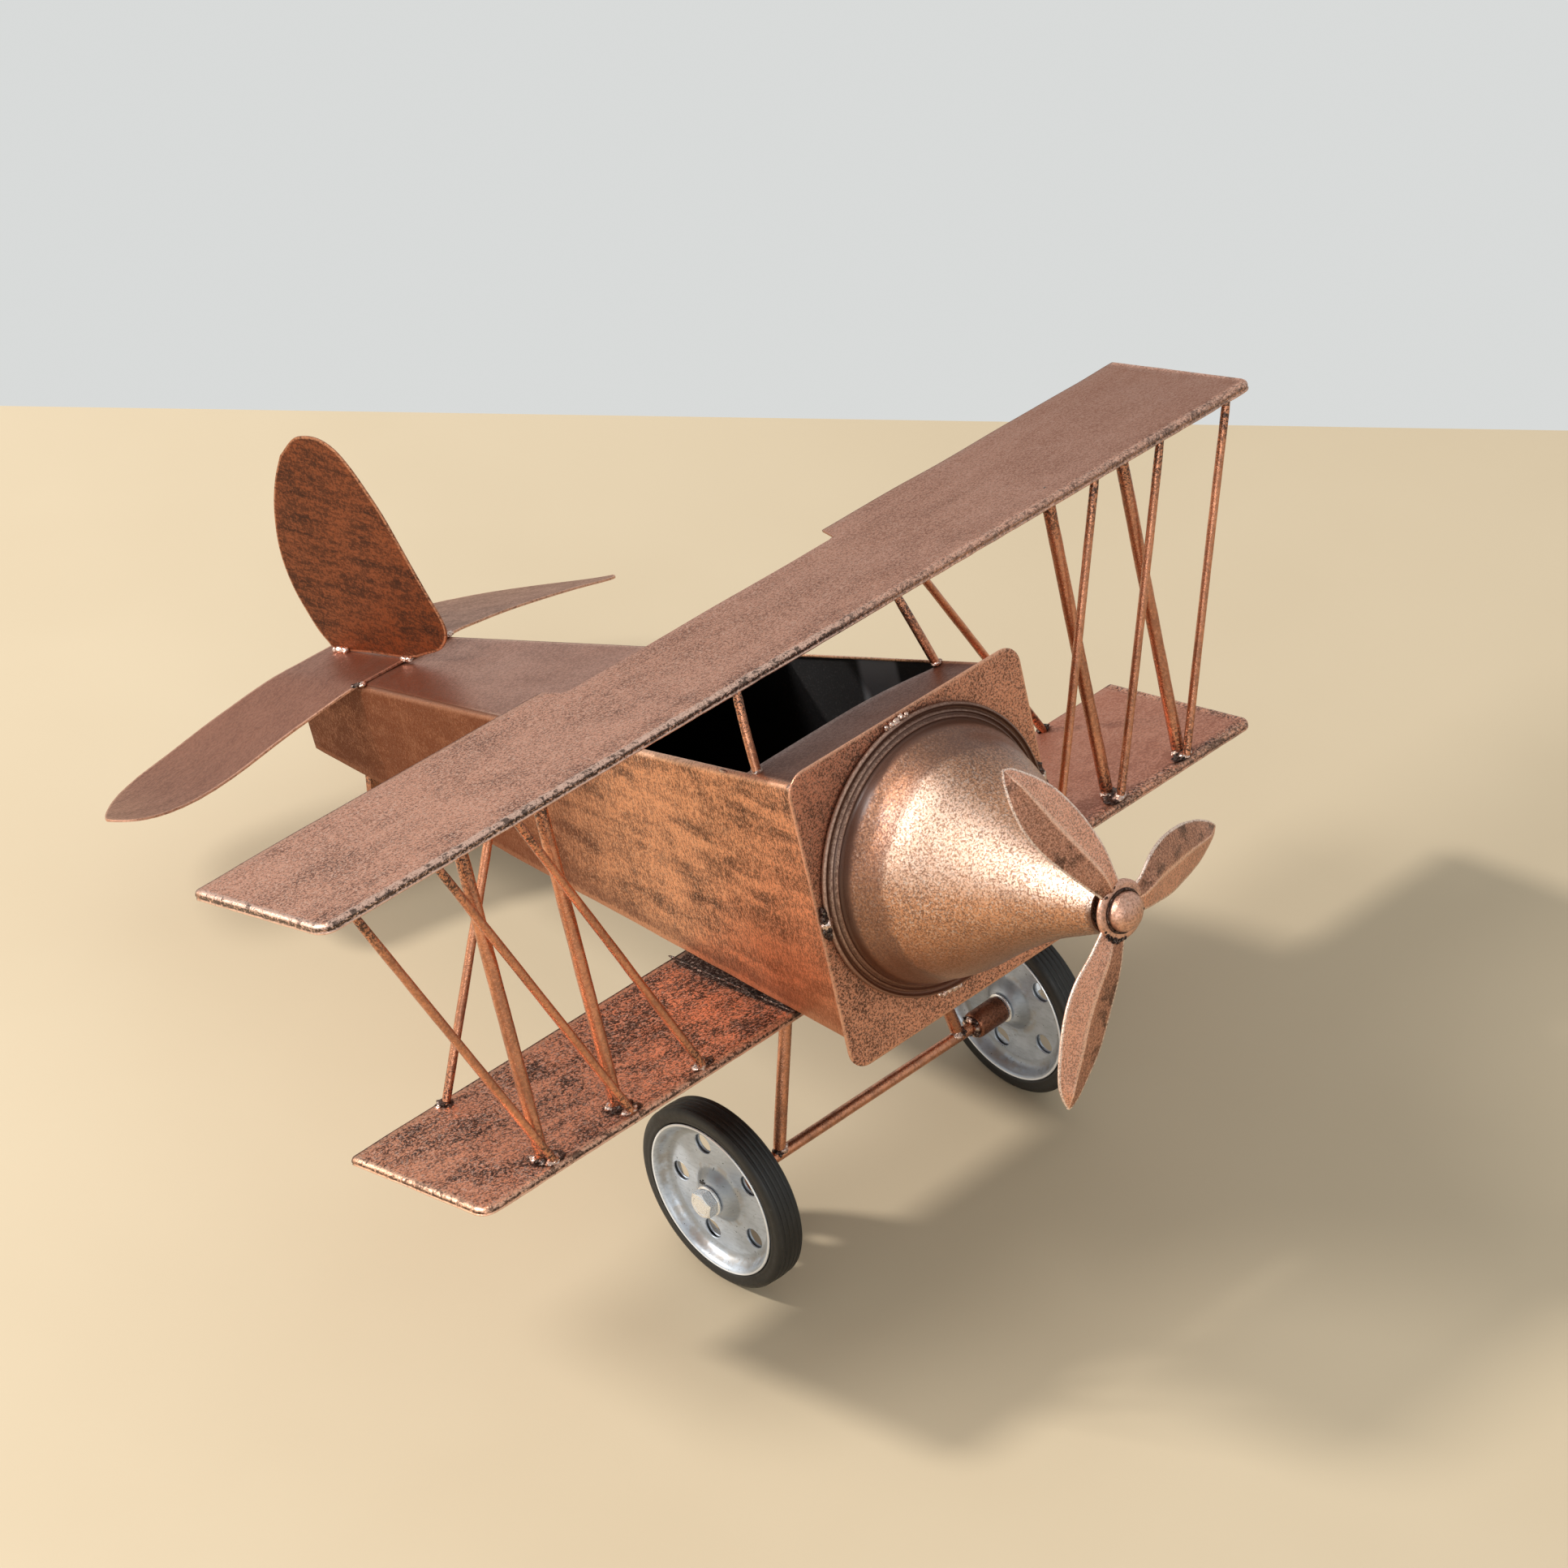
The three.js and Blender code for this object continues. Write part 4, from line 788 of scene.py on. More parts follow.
# ------------------------------------------------------------------ front plate
def front_plate():
    w, hz, r, zc = 74.8, 78.5, 11.0, -101.0
    loops = []
    for inset in (0.0, 1.2, 3.0):
        pts = []
        for cx, cz, a0 in ((w - r, hz - r, 0), (-w + r, hz - r, 90), (-w + r, -hz + r, 180), (w - r, -hz + r, 270)):
            for i in range(9):
                a = math.radians(a0 + 90 * i / 8)
                rr = max(r - inset, 0.5)
                pts.append((cx + rr * math.cos(a), cz + rr * math.sin(a)))
        loops.append(pts)
    n = len(loops[0])
    V, F = [], []
    for k, pts in enumerate(loops):
        for x, z in pts:
            lip = (0.35, 0.05, 0.0)[k]
            wave = wob(x, 0, z, 0.02, 0.9, 5.0) * (1.0 if k == 0 else 0.9)
            V.append((x, -50.0 + lip * 0.6 + wave * 0.4 - 0.05, z + zc))
    for k in range(2):
        for i in range(n):
            j = (i + 1) % n
            F.append((k * n + i, k * n + j, (k + 1) * n + j, (k + 1) * n + i))
    # inner field as a grid of rows so that it can be slightly wavy
    ring = [V[2 * n + i] for i in range(n)]
    c = len(V)
    V.append((0, -50.0, zc))
    half = []
    for i in range(n):
        x, y, z = ring[i]
        half.append(len(V))
        xx, zz = x * 0.6, zc + (z - zc) * 0.6
        V.append((xx, -50.0 + wob(xx, 0, zz, 0.02, 0.5, 5.0), zz))
    for i in range(n):
        j = (i + 1) % n
        F.append((2 * n + i, 2 * n + j, half[j], half[i]))
        F.append((half[i], half[j], c))
    v = [Vector(V[i]) for i in F[-1]]
    if (v[1] - v[0]).cross(v[2] - v[1]).y > 0:
        F = [tuple(reversed(f)) for f in F]
    make("front_plate_skin", V, F, [M_PLATE], replaces=["front_plate"], solid=1.2, bevel=0.3)


front_plate()

# ------------------------------------------------------------------ nose cone
NZ = -96.8
def nose():
    body = [(62.5, -59.2), (62.0, -61.0), (61.0, -63.2), (59.0, -67.2), (56.0, -75), (51.2, -85), (45, -95), (38.3, -106), (31.5, -118), (25.4, -130),
            (21.2, -140), (17.9, -150), (14.6, -160), (12.5, -167)]
    curve = spline(body, 60)
    rim = [(70.3, -50.3), (71.0, -51.0), (71.1, -52.0), (70.6, -52.9), (69.9, -53.1), (69.3, -52.5), (68.8, -51.9), (68.2, -51.9), (67.8, -52.6),
           (67.4, -53.6), (66.9, -54.0), (66.4, -53.7), (66.0, -53.2), (65.6, -53.3), (65.2, -54.0), (64.8, -54.9), (64.4, -55.2), (64.0, -55.0),
           (63.6, -54.9), (63.2, -55.5), (62.9, -57.0)]
    outer = [tuple(p) for p in rim] + [tuple(p) for p in curve]
    T = 1.1
    inner = []
    for i in range(len(outer) - 1, len(rim) - 1, -1):
        a, b = outer[i - 1], outer[min(i + 1, len(outer) - 1)]
        d = Vector((b[0] - a[0], b[1] - a[1])).normalized()
        inner.append((outer[i][0] + d.y * T, outer[i][1] - d.x * T))
    inner[0] = (inner[0][0], -166.9)
    inner += [(61.6, -55.0), (62.6, -52.6), (64.6, -51.9), (67.6, -50.5), (69.6, -50.2)]
    prof = outer + inner

    def place(r, a, t):
        rr = r
        if a < -64 and r > 14:
            rr = r * (1 + 0.004 * noise.noise(Vector((math.cos(t) * 1.3, math.sin(t) * 1.3, a * 0.03))))
        return (rr * math.cos(t), a, NZ + rr * math.sin(t))
    V, F = outward(lathe(prof, 144, place))
    make("nose_bell", V, F, [M_CONE], replaces=["nose_cone"], angle=60)


nose()

# ------------------------------------------------------------------ propeller
HUB_Y, HUB_T = -171.9, 3.2
def propeller():
    mid = HUB_Y - HUB_T / 2
    prof = [(2.75, -HUB_T / 2 + 0.2), (3.2, -HUB_T / 2), (12.9, -HUB_T / 2 - 0.1), (13.9, -HUB_T / 2 + 0.25), (14.5, -0.4), (14.5, 0.6), (13.9, HUB_T / 2 - 0.2),
            (12.9, HUB_T / 2), (3.2, HUB_T / 2), (2.75, HUB_T / 2 - 0.2)]
    V, F = outward(lathe(prof, 56, lambda r, a, t: (r * math.cos(t), mid + a, NZ + r * math.sin(t))))
    make("propeller_boss_disc", V, F, [M_HUB], body="propeller", replaces=["propeller_hub"], angle=50)
    base = HUB_Y - HUB_T - 0.3
    dome = [(0, base)] + [(9.5, base)] + [(9.5 * math.cos(a) ** 0.85, base - 1.0 - 6.6 * math.sin(a)) for a in np.linspace(0.0, math.pi / 2 - 0.02, 12)] + [(0, base - 7.65)]

    def dplace(r, a, t):
        k = 1 + 0.05 * noise.noise(Vector((math.cos(t) * r * 0.12, math.sin(t) * r * 0.12, a * 0.2)))
        dent = 0.45 * max(0, noise.noise(Vector((math.cos(t) * r * 0.25 + 4, math.sin(t) * r * 0.25, 1))))
        return (r * k * math.cos(t), a + (dent if a < base - 2 else 0), NZ + r * k * math.sin(t))
    V, F = outward(lathe(dome, 48, dplace, close=False))
    make("propeller_dome_cap", V, F, [M_HUB], body="propeller", replaces=["propeller_dome"], angle=50)
    # raised ring seam round the dome's foot
    ring = [(10.1 + 0.75 * math.cos(a), base - 0.15 + 0.6 * math.sin(a)) for a in np.linspace(0, 2 * math.pi, 9)[:-1]]

    def rplace(r, a, t):
        k = 1 + 0.03 * noise.noise(Vector((math.cos(t) * 3, math.sin(t) * 3, 2)))
        return (r * k * math.cos(t), a - 0.25 * noise.noise(Vector((math.cos(t) * 2, math.sin(t) * 2, 8))), NZ + r * k * math.sin(t))
    V, F = outward(lathe(ring, 64, rplace))
    make("propeller_dome_seam", V, F, [M_CRUST], body="propeller", angle=60)
    ROOT = 15.2
    blades = {
        "propeller_blade_upper": (113.2, 12.7, [[8, 5.2], [15.2, 5.4], [21.7, 6.9], [37.4, 10], [50.9, 12.1], [64.8, 12.2], [78, 9.4], [87.6, 5.4], [93.4, 1.8], [95.6, -0.8]],
                                  [[8, -7.2], [15.2, -8.3], [28.1, -12.6], [39.6, -14.6], [52.6, -15.3], [67.3, -14.4], [79.4, -11], [90.4, -6.1], [94.0, -3.6], [95.6, -0.8]]),
        "propeller_blade_side": (-6.8, 21.5, [[8, 8.0], [15.2, 12.2], [25.7, 17.1], [40.2, 19.2], [58.8, 17.6], [70, 14.9], [81.3, 10.9], [92.5, 5.4], [98.0, 1.6], [99.5, -0.1]],
                                 [[8, -5.0], [15.2, -5.6], [24.4, -7.4], [42.7, -10.3], [61.9, -10.6], [72, -10], [81.7, -8.8], [95.4, -4.3], [98.6, -1.6], [99.5, -0.1]]),
        "propeller_blade_lower": (233.2, -1.75, [[8, 6.6], [15.2, 7.9], [28.7, 10.6], [47.6, 10.8], [58, 10.6], [66.7, 9.7], [84.4, 5.3], [90.4, 2.6], [92.8, 0.9], [93.5, -0.2]],
                                  [[8, -7.0], [15.2, -9], [24.6, -12], [36.7, -16.6], [51.8, -18], [70.2, -14.9], [84.5, -10], [90.7, -4.9], [92.8, -1.9], [93.5, -0.2]]),
    }
    for name, (ang, sweep, plus, minus) in blades.items():
        n, m = 44, 13
        P, Q = spline(plus, n), spline(minus, n)
        a = math.radians(ang)
        er, et = Vector((math.cos(a), 0, math.sin(a))), Vector((-math.sin(a), 0, math.cos(a)))
        sw = math.radians(sweep)
        V, F, E, H = [], [], [], []
        for i in range(n):
            t = i / (n - 1)
            for j in range(m):
                u = j / (m - 1)
                q = Q[i] * (1 - u) + P[i] * u
                r, tan = q
                r *= 0.9935
                wid = (P[i][1] - Q[i][1])
                if wid < 1.3:
                    tan = (P[i][1] + Q[i][1]) / 2 + (u - 0.5) * 1.3
                s = abs(2 * u - 1)
                ridge = (2.3 if name == "propeller_blade_lower" else 3.4) * (1 - s) * min(1, wid / 14) * min(1, max(0, (r - 6) / 16)) * min(1, (1 - t) * 5 + 0.1)
                # bend back beyond the hub with a short radius
                over = max(0.0, r - ROOT + 2)
                soft = over - 2 * (1 - math.exp(-over / 2))
                rad_ = r - (over - over * math.cos(sw)) if over > 0 else r
                dy = soft * math.sin(sw)
                p = Vector((0, mid - 0.55, NZ)) + er * rad_ + et * tan + Vector((0, dy - ridge, 0))
                p.y += 0.35 * noise.noise(Vector((r * 0.05, tan * 0.08, ang)))
                V.append(tuple(p))
                E.append(min(min(u, 1 - u) * wid, 99.0))
                H.append(u)
        for i in range(n - 1):
            for j in range(m - 1):
                b = i * m + j
                F.append((b, b + 1, b + m + 1, b + m))
        v = [Vector(V[i]) for i in F[len(F) // 2]]
        if (v[1] - v[0]).cross(v[2] - v[1]).y > 0:
            F = [tuple(reversed(f)) for f in F]
        make(name + "_leaf", V, F, [M_BLADE], inset=E, half=H, body="propeller", replaces=[name], solid=1.15, bevel=0.3, angle=26)
    # crusty weld under the hub, smaller ones at the other roots
    parts = []
    for i, (an, rr, sz) in enumerate([(233, 14.0, 1.5), (222, 13.8, 1.2), (243, 14.3, 1.3), (252, 13.6, 1.0), (212, 13.5, 0.9), (262, 13.4, 0.9), (202, 13.2, 0.7)]):
        t = math.radians(an)
        parts.append(blob((rr * math.cos(t), mid - 1.4, NZ + rr * math.sin(t)), (sz * 1.3, sz * 0.8, sz), i + 2.0, 0.5, 2))
    for i, (an, rr, sz) in enumerate([(100, 13.2, 0.8), (127, 13.2, 0.8), (8, 13.4, 0.8), (-24, 13.2, 0.7)]):
        t = math.radians(an)
        parts.append(blob((rr * math.cos(t), mid - 1.3, NZ + rr * math.sin(t)), (sz * 1.4, sz * 0.7, sz), i + 9.0, 0.4, 2))
    V, F = join(parts)
    make("propeller_root_welds", V, F, [M_CRUST], body="propeller")


propeller()

# ------------------------------------------------------------------ wings
def wing(name, node, mat, half, top, lead, drop, tilt, corner, rear):
    """sheet with turned-down leading edge and tips: a closed fold followed round the outline, and a flat field between"""
    R, T = 2.4, 1.1
    ct, st = math.cos(math.radians(tilt)), math.sin(math.radians(tilt))
    h = drop - R
    quarter = [math.radians(90 * i / 6) for i in range(7)]
    # section (inset from the outline, height): over the fold, down the hem with its rolled bead, and back up inside
    sec = [(R + 6.0, 0.0), (R + 1.2, 0.0)]
    sec += [(R - R * math.cos(q), -R + R * math.sin(q)) for q in reversed(quarter)]
    sec += [(0.22, -R - 0.18 * h), (0.34, -R - 0.34 * h), (0.26, -R - 0.50 * h), (0.06, -R - 0.62 * h), (0.04, -R - 0.78 * h), (0.14, -R - 0.92 * h),
            (0.40, -drop), (0.90, -drop), (1.22, -R - 0.86 * h), (1.30, -R - 0.6 * h), (1.30, -R - 0.25 * h)]
    under0 = len(sec)
    sec += [(R - (R - T) * math.cos(q), -R + (R - T) * math.sin(q)) for q in quarter]
    sec += [(R + 1.2, -T), (R + 6.0, -T)]
    path, nor = [], []
    ytail = rear[0][1]

    def put(x, y, nx, ny):
        path.append((x, y)); nor.append((nx, ny))
    NS, NC, NL = 22, 8, 150
    for y in np.linspace(ytail, corner, NS):
        put(half, y, -1, 0)
    for i in range(1, NC):
        a = math.radians(90 * i / NC)
        put(half - corner + corner * math.cos(a), corner - corner * math.sin(a), -math.cos(a), math.sin(a))
    for x in np.linspace(half - corner, -half + corner, NL):
        put(x, 0, 0, 1)
    for i in range(1, NC):
        a = math.radians(90 * i / NC)
        put(-half + corner - corner * math.sin(a), corner - corner * math.cos(a), math.sin(a), math.cos(a))
    for y in np.linspace(corner, ytail, NS):
        put(-half, y, 1, 0)
    V, F = [], []
    nb = len(sec)
    for (x, y), (nx, ny) in zip(path, nor):
        for j, (d, z) in enumerate(sec):
            edge = 2 <= j < under0 + 7
            rag = 0.12 + wob(x, y, 0, 0.10, 0.20, 3.0) + wob(x, y, 0, 0.35, 0.10, 6.0) if edge else 0.0
            rag = max(0.0, rag)
            dz = max(0.0, wob(x, y, 1, 0.07, 0.45, 8.0) + wob(x, y, 1, 0.3, 0.15, 2.0)) if z < -R - 0.4 * h else 0.0
            V.append((x + nx * (d + rag), y + ny * (d + rag), z + dz))
    n = len(path)
    for i in range(n - 1):
        for j in range(nb - 1):
            b = i * nb + j
            F.append((b, b + 1, b + nb + 1, b + nb))
    F.append(tuple(j for j in range(nb)))
    F.append(tuple((n - 1) * nb + j for j in reversed(range(nb))))
    first = NS + NC - 1
    xs = [path[i][0] for i in range(first, first + NL)]
    tail_at = lambda x: float(np.interp(abs(x), [p[0] for p in rear][::-1], [p[1] for p in rear][::-1]))
    ins, rows = R + 6.0, 14
    sheets = []
    for layer, (end, z0) in enumerate(((0, 0.0), (nb - 1, -T))):
        grid = [[i * nb + end for i in range(first, first + NL)]]
        for r in range(1, rows + 1):
            row = []
            for x in xs:
                y = ins + (tail_at(x) - ins) * r / rows
                k = min(1, r / 4) * (1.0 if r < rows else 0.8) * min(1.0, (half - 8 - abs(x)) / 20 + 0.02)
                row.append(len(V))
                V.append((x, y, z0 + (wob(x, y, 2, 0.010, 1.2, 2.0) + wob(x, y, 2, 0.035, 0.35, 5.0) - 0.3) * k))
            grid.append(row)
        for r in range(rows):
            for c in range(NL - 1):
                F.append((grid[r][c], grid[r + 1][c], grid[r + 1][c + 1], grid[r][c + 1]))

        def tipfill(ids, col):
            a, b = ids, [grid[r][col] for r in range(rows, -1, -1)]
            ya, yb = [V[i][1] for i in a], [V[i][1] for i in b]
            i = j = 0
            out = []
            while i < len(a) - 1 or j < len(b) - 1:
                if a[i] == b[j]:
                    break
                if j == len(b) - 1 or (i < len(a) - 1 and ya[i + 1] >= yb[j + 1]):
                    out.append((a[i], a[i + 1], b[j])); i += 1
                else:
                    out.append((a[i], b[j + 1], b[j])); j += 1
            return [f for f in out if len(set(f)) == 3]
        right = [i * nb + end for i in range(0, first + 1)]
        left = [i * nb + end for i in range(n - 1, n - 2 - first, -1)]
        F += tipfill(right, 0)
        F += tipfill(left, NL - 1)
        sheets.append((grid, right[0], left[0]))
    (ga, ra, la), (gb, rb, lb) = sheets
    ta, tb = [ra] + ga[rows] + [la], [rb] + gb[rows] + [lb]
    for c in range(len(ta) - 1):
        F.append((ta[c], tb[c], tb[c + 1], ta[c + 1]))
    W = [(x, lead + y * ct + z * st, top - y * st + z * ct) for x, y, z in V]
    V, F = outward((W, F))
    return make(name, V, F, [mat], replaces=[node], bevel=0.3, angle=44)


wing("upper_wing_skin", "upper_wing", M_UPPER, 300.0, 5.3, 0.0, 4.9, 4.1, 8.0,
     [(300.0, 99.5), (91.2, 99.5), (90.2, 97.8), (88.2, 86.8), (87.0, 85.5), (0, 85.5)])
wing("lower_wing_skin", "lower_wing", M_LOWER, 258.6, -166.3, 0.3, 4.0, 1.35, 8.0, [(258.6, 102.0), (0, 102.0)])

# ------------------------------------------------------------------ struts
UP = lambda y: 5.3 - math.tan(math.radians(4.1)) * y
UPU = lambda y: UP(y) - 1.2
LO = lambda y: -166.3 - math.tan(math.radians(1.35)) * y
LOU = lambda y: LO(y) - 1.2


def struts():
    k = 0
    for side, sx in (("left", 1), ("right", -1)):
        for place, ux, lx in (("outer", 281.2, 212.3), ("middle", 233.4, 164.2), ("inner", 187.1, 119.1)):
            k += 1
            V, F = rod((sx * lx, 4.2, LO(4.2) - 0.2), (sx * ux, 2.0, 0.9), 2.2, seed=k * 1.3, lump=0.025)
            make(f"front_strut_{place}_{side}_bar", V, F, [M_ROD], replaces=[f"front_strut_{place}_{side}"])
            welds.append(("weld", blob((sx * (lx + 0.8), 5.0, LO(5) + 0.9), (4.0, 3.0, 2.0), k * 2.1, 0.55)))
            welds.append(("crust", blob((sx * (lx - 2.4), 6.0, LO(6) + 0.5), (4.6, 3.4, 1.1), k * 1.9, 0.65)))
            welds.append(("weld", blob((sx * ux, 2.2, 0.9), (3.0, 2.0, 1.3), k * 3.1, 0.45)))
        for place, x, y in (("outer", 214.0, 11.0), ("inner", 165.0, 14.0)):
            k += 1
            V, F = rod((sx * x, y, LO(y) - 0.2), (sx * x, y, UPU(y) + 0.2), 3.35, seg=24, seed=k * 1.7, lump=0.03)
            make(f"wing_post_{place}_{side}_bar", V, F, [M_ROD], replaces=[f"wing_post_{place}_{side}"])
            welds.append(("crust", blob((sx * x, y - 2.5, LO(y) + 0.8), (5.2, 3.6, 1.7), k * 2.7, 0.55)))
            welds.append(("weld", blob((sx * (x + 3.2), y + 2.2, LO(y) + 1.3), (2.4, 1.9, 1.9), k * 1.1, 0.45)))
            welds.append(("weld", blob((sx * (x - 3.0), y - 1.0, LO(y) + 1.2), (2.0, 2.2, 1.5), k * 4.1, 0.45)))
            welds.append(("crust", blob((sx * x, y, UPU(y) - 0.6), (4.6, 4.2, 1.4), k * 3.3, 0.5)))
        k += 1
        V, F = rod((sx * 203, 98.3, LO(98.3) - 0.2), (sx * 118.5, 92, UPU(92) + 0.2), 2.2, seed=k, lump=0.03)
        make(f"rear_strut_{side}_bar", V, F, [M_ROD], replaces=[f"rear_strut_{side}"])
        welds.append(("crust", blob((sx * 203.5, 99.0, LO(98.3) + 0.8), (3.8, 2.6, 1.6), k * 1.7, 0.6)))
        welds.append(("weld", blob((sx * 206.5, 99.0, LO(98.3) + 0.3), (1.8, 1.4, 1.1), k * 1.2, 0.4)))
        welds.append(("crust", blob((sx * 118.5, 92, UPU(92) - 0.4), (3.2, 2.6, 1.2), k * 2.2, 0.5)))
        V, F = rod((sx * 58.5, -8.2, topZ(-8.2) - 0.4), (sx * 52, 2.0, 0.9), 2.3, seed=k + 3.3, lump=0.02)
        make(f"cabane_strut_{side}_bar", V, F, [M_ROD], replaces=[f"cabane_strut_{side}"])
        welds.append(("weld", blob((sx * 58.5, -8.2, topZ(-8.2) + 0.5), (2.9, 2.8, 1.2), k * 5.2, 0.4)))
        V, F = rod((sx * 61.7, 42, -259.5 + 1.5), (sx * 39, 32.5, LOU(32.5) + 0.2), 3.2, seg=22, seed=k + 6.1, lump=0.02)
        make(f"gear_leg_{side}_bar", V, F, [M_ROD], replaces=[f"gear_leg_{side}"])
        welds.append(("weld", blob((sx * 60.6, 41.8, -257.6), (4.0, 3.6, 2.6), k * 2.9, 0.35)))
        welds.append(("crust", blob((sx * 63.4, 41.4, -258.2), (2.6, 3.2, 2.6), k * 3.9, 0.45)))
        welds.append(("crust", blob((sx * 39, 32.5, LOU(32.5) - 0.3), (4.4, 4.4, 1.3), k * 1.9, 0.5)))


struts()
AY, AZ = 42.0, -259.5
V, F = rod((-74, AY, AZ), (74, AY, AZ), 3.15, seg=24, seed=2.0, lump=0.015, bow=0.2)
make("axle_bar", V, F, [M_ROD], replaces=["axle_rod"])

# ------------------------------------------------------------------ wheels
def wheels():
    for side, sx in (("left", 1), ("right", -1)):
        X = 100.3

        def place(r, a, t, sx=sx):
            return (sx * (X + a), AY + r * math.cos(t), AZ + r * math.sin(t))
        # tyre: soft shoulders, fine ribs round the tread
        tread = []
        for i in range(33):
            a = -5.6 + 11.2 * i / 32
            rib = 0.0
            for g in (-4.2, -1.4, 1.4, 4.2):
                rib = max(rib, 0.55 * math.exp(-((a - g) / 0.34) ** 2))
            tread.append((49.78 - 0.013 * a * a - rib, a))
        sideL = [(40.2, -5.0), (41.2, -6.6), (41.9, -7.35), (42.8, -7.95), (43.6, -8.0), (44.4, -7.8), (45.2, -7.85), (46.6, -7.95), (47.9, -7.6), (48.9, -6.9), (49.5, -6.2)]
        prof = sideL + tread + [(r, -a) for r, a in reversed(sideL)] + [(40.0, 4.0), (40.0, -4.0)]
        V, F = outward(lathe(prof, 144, place))
        make(f"tyre_{side}_ribbed", V, F, [M_RUBBER], body=f"wheel_{side}", replaces=[f"tyre_{side}"], angle=50)
        # two pressed discs with rolled holes
        out = [(5.9, 7.1), (7.2, 7.15), (8.6, 6.8), (10.2, 5.9), (12.0, 4.5), (13.6, 3.2), (15.0, 2.2), (16.6, 1.65), (18.6, 1.5), (22, 1.5), (27.5, 1.5), (32.4, 1.5),
               (34.6, 1.8), (36.3, 2.7), (37.6, 4.2), (38.5, 5.8), (39.3, 7.2), (40.2, 8.0), (41.1, 8.3), (41.5, 8.0), (41.5, 7.5)]
        curve = [tuple(p) for p in spline(out, 46)]
        for face, sgn, phase in (("outer", 1, 10.0), ("inner", -1, 10.0)):
            bm = bmesh.new()
            T = 0.9
            under = []
            for i in range(len(curve) - 1, -1, -1):
                a, b = curve[max(i - 1, 0)], curve[min(i + 1, len(curve) - 1)]
                d = Vector((b[0] - a[0], b[1] - a[1])).normalized()
                under.append((curve[i][0] + d.y * T * 0.9, curve[i][1] - d.x * T * 0.9))
            prof = curve + under
            V, F = outward(lathe(prof, 120, lambda r, a, t: (r * math.cos(t), r * math.sin(t), a)))
            for v in V:
                bm.verts.new(v)
            bm.verts.ensure_lookup_table()
            for f in F:
                bm.faces.new([bm.verts[i] for i in f])
            me = bpy.data.meshes.new("disc_tmp")
            bm.to_mesh(me); bm.free()
            o = bpy.data.objects.new("disc_tmp", me)
            bpy.context.scene.collection.objects.link(o)
            cut = []
            for h in range(5):
                an = math.radians(phase + 72 * h)
                cx, cy = 27.5 * math.cos(an), 27.5 * math.sin(an)
                pv, pf = [], []
                N = 40
                for zz in (-3, 6):
                    for q in range(N):
                        tt = 2 * math.pi * q / N
                        pv.append((cx + 5.6 * math.cos(tt), cy + 5.6 * math.sin(tt), zz))
                pf = [tuple(range(N - 1, -1, -1)), tuple(range(N, 2 * N))] + [(q, (q + 1) % N, N + (q + 1) % N, N + q) for q in range(N)]
                cut.append((pv, pf))
            cv, cf = join(cut)
            cm = bpy.data.meshes.new("cut_tmp")
            cm.from_pydata(cv, [], cf)
            co = bpy.data.objects.new("cut_tmp", cm)
            bpy.context.scene.collection.objects.link(co)
            mod = o.modifiers.new("b", "BOOLEAN")
            mod.operation = "DIFFERENCE"; mod.object = co; mod.solver = "EXACT"
            dg = bpy.context.evaluated_depsgraph_get()
            res = bpy.data.meshes.new_from_object(o.evaluated_get(dg))
            bpy.data.objects.remove(o); bpy.data.objects.remove(co)
            V = [tuple(v.co) for v in res.vertices]
            F = [tuple(p.vertices) for p in res.polygons]
            bpy.data.meshes.remove(res)
            # turned rolled edges round each hole
            rolled = []
            for h in range(5):
                an = math.radians(phase + 72 * h)
                cx, cy = 27.5 * math.cos(an), 27.5 * math.sin(an)
                rv, rf = [], []
                for q in range(40):
                    tt = 2 * math.pi * q / 40
                    for w in range(8):
                        ww = 2 * math.pi * w / 8
                        rr = 5.66 + 0.28 * math.cos(ww)
                        rv.append((cx + rr * math.cos(tt), cy + rr * math.sin(tt), 1.12 + 0.45 * math.sin(ww)))
                for q in range(40):
                    for w in range(8):
                        b0, b1 = q * 8, ((q + 1) % 40) * 8
                        rf.append((b0 + w, b1 + w, b1 + (w + 1) % 8, b0 + (w + 1) % 8))
                rolled.append((rv, rf))
            V, F = join([(V, F)] + [outward(p) for p in rolled])
            rad_ = [math.hypot(v[0], v[1]) for v in V]
            W = [(sx * (X + sgn * v[2]), AY + v[0], AZ + v[1]) for v in V]
            if sx * sgn > 0:
                pass
            else:
                F = [tuple(reversed(f)) for f in F]
            # (x, y, z) = (a, cos, sin) keeps handedness for +x, so the other side is turned back
            make(f"wheel_disc_{face}_{side}_pressed", W, F, [M_ZINC], body=f"wheel_{side}", replaces=[f"wheel_disc_{face}_{side}"], radius=rad_, angle=42)
        hb = [(4.45, -7.3), (5.0, -7.4), (5.2, -7.2), (5.2, 7.2), (5.0, 7.4), (4.45, 7.3)]
        V, F = outward(lathe(hb, 40, place))
        make(f"hub_bush_{side}_tube", V, F, [M_STEEL], body=f"wheel_{side}", replaces=[f"hub_bush_{side}"], angle=50)
        for face, a0, a1 in (("outer", 7.8, 9.1), ("inner", -9.0, -7.8)):
            wp = [(4.35, a0 + 0.15), (4.6, a0), (7.7, a0), (8.0, a0 + 0.25), (8.0, a1 - 0.25), (7.7, a1), (4.6, a1), (4.35, a1 - 0.15)]
            V, F = outward(lathe(wp, 44, place))
            make(f"washer_{face}_{side}_ring", V, F, [M_STEEL], replaces=[f"washer_{face}_{side}"], angle=50)
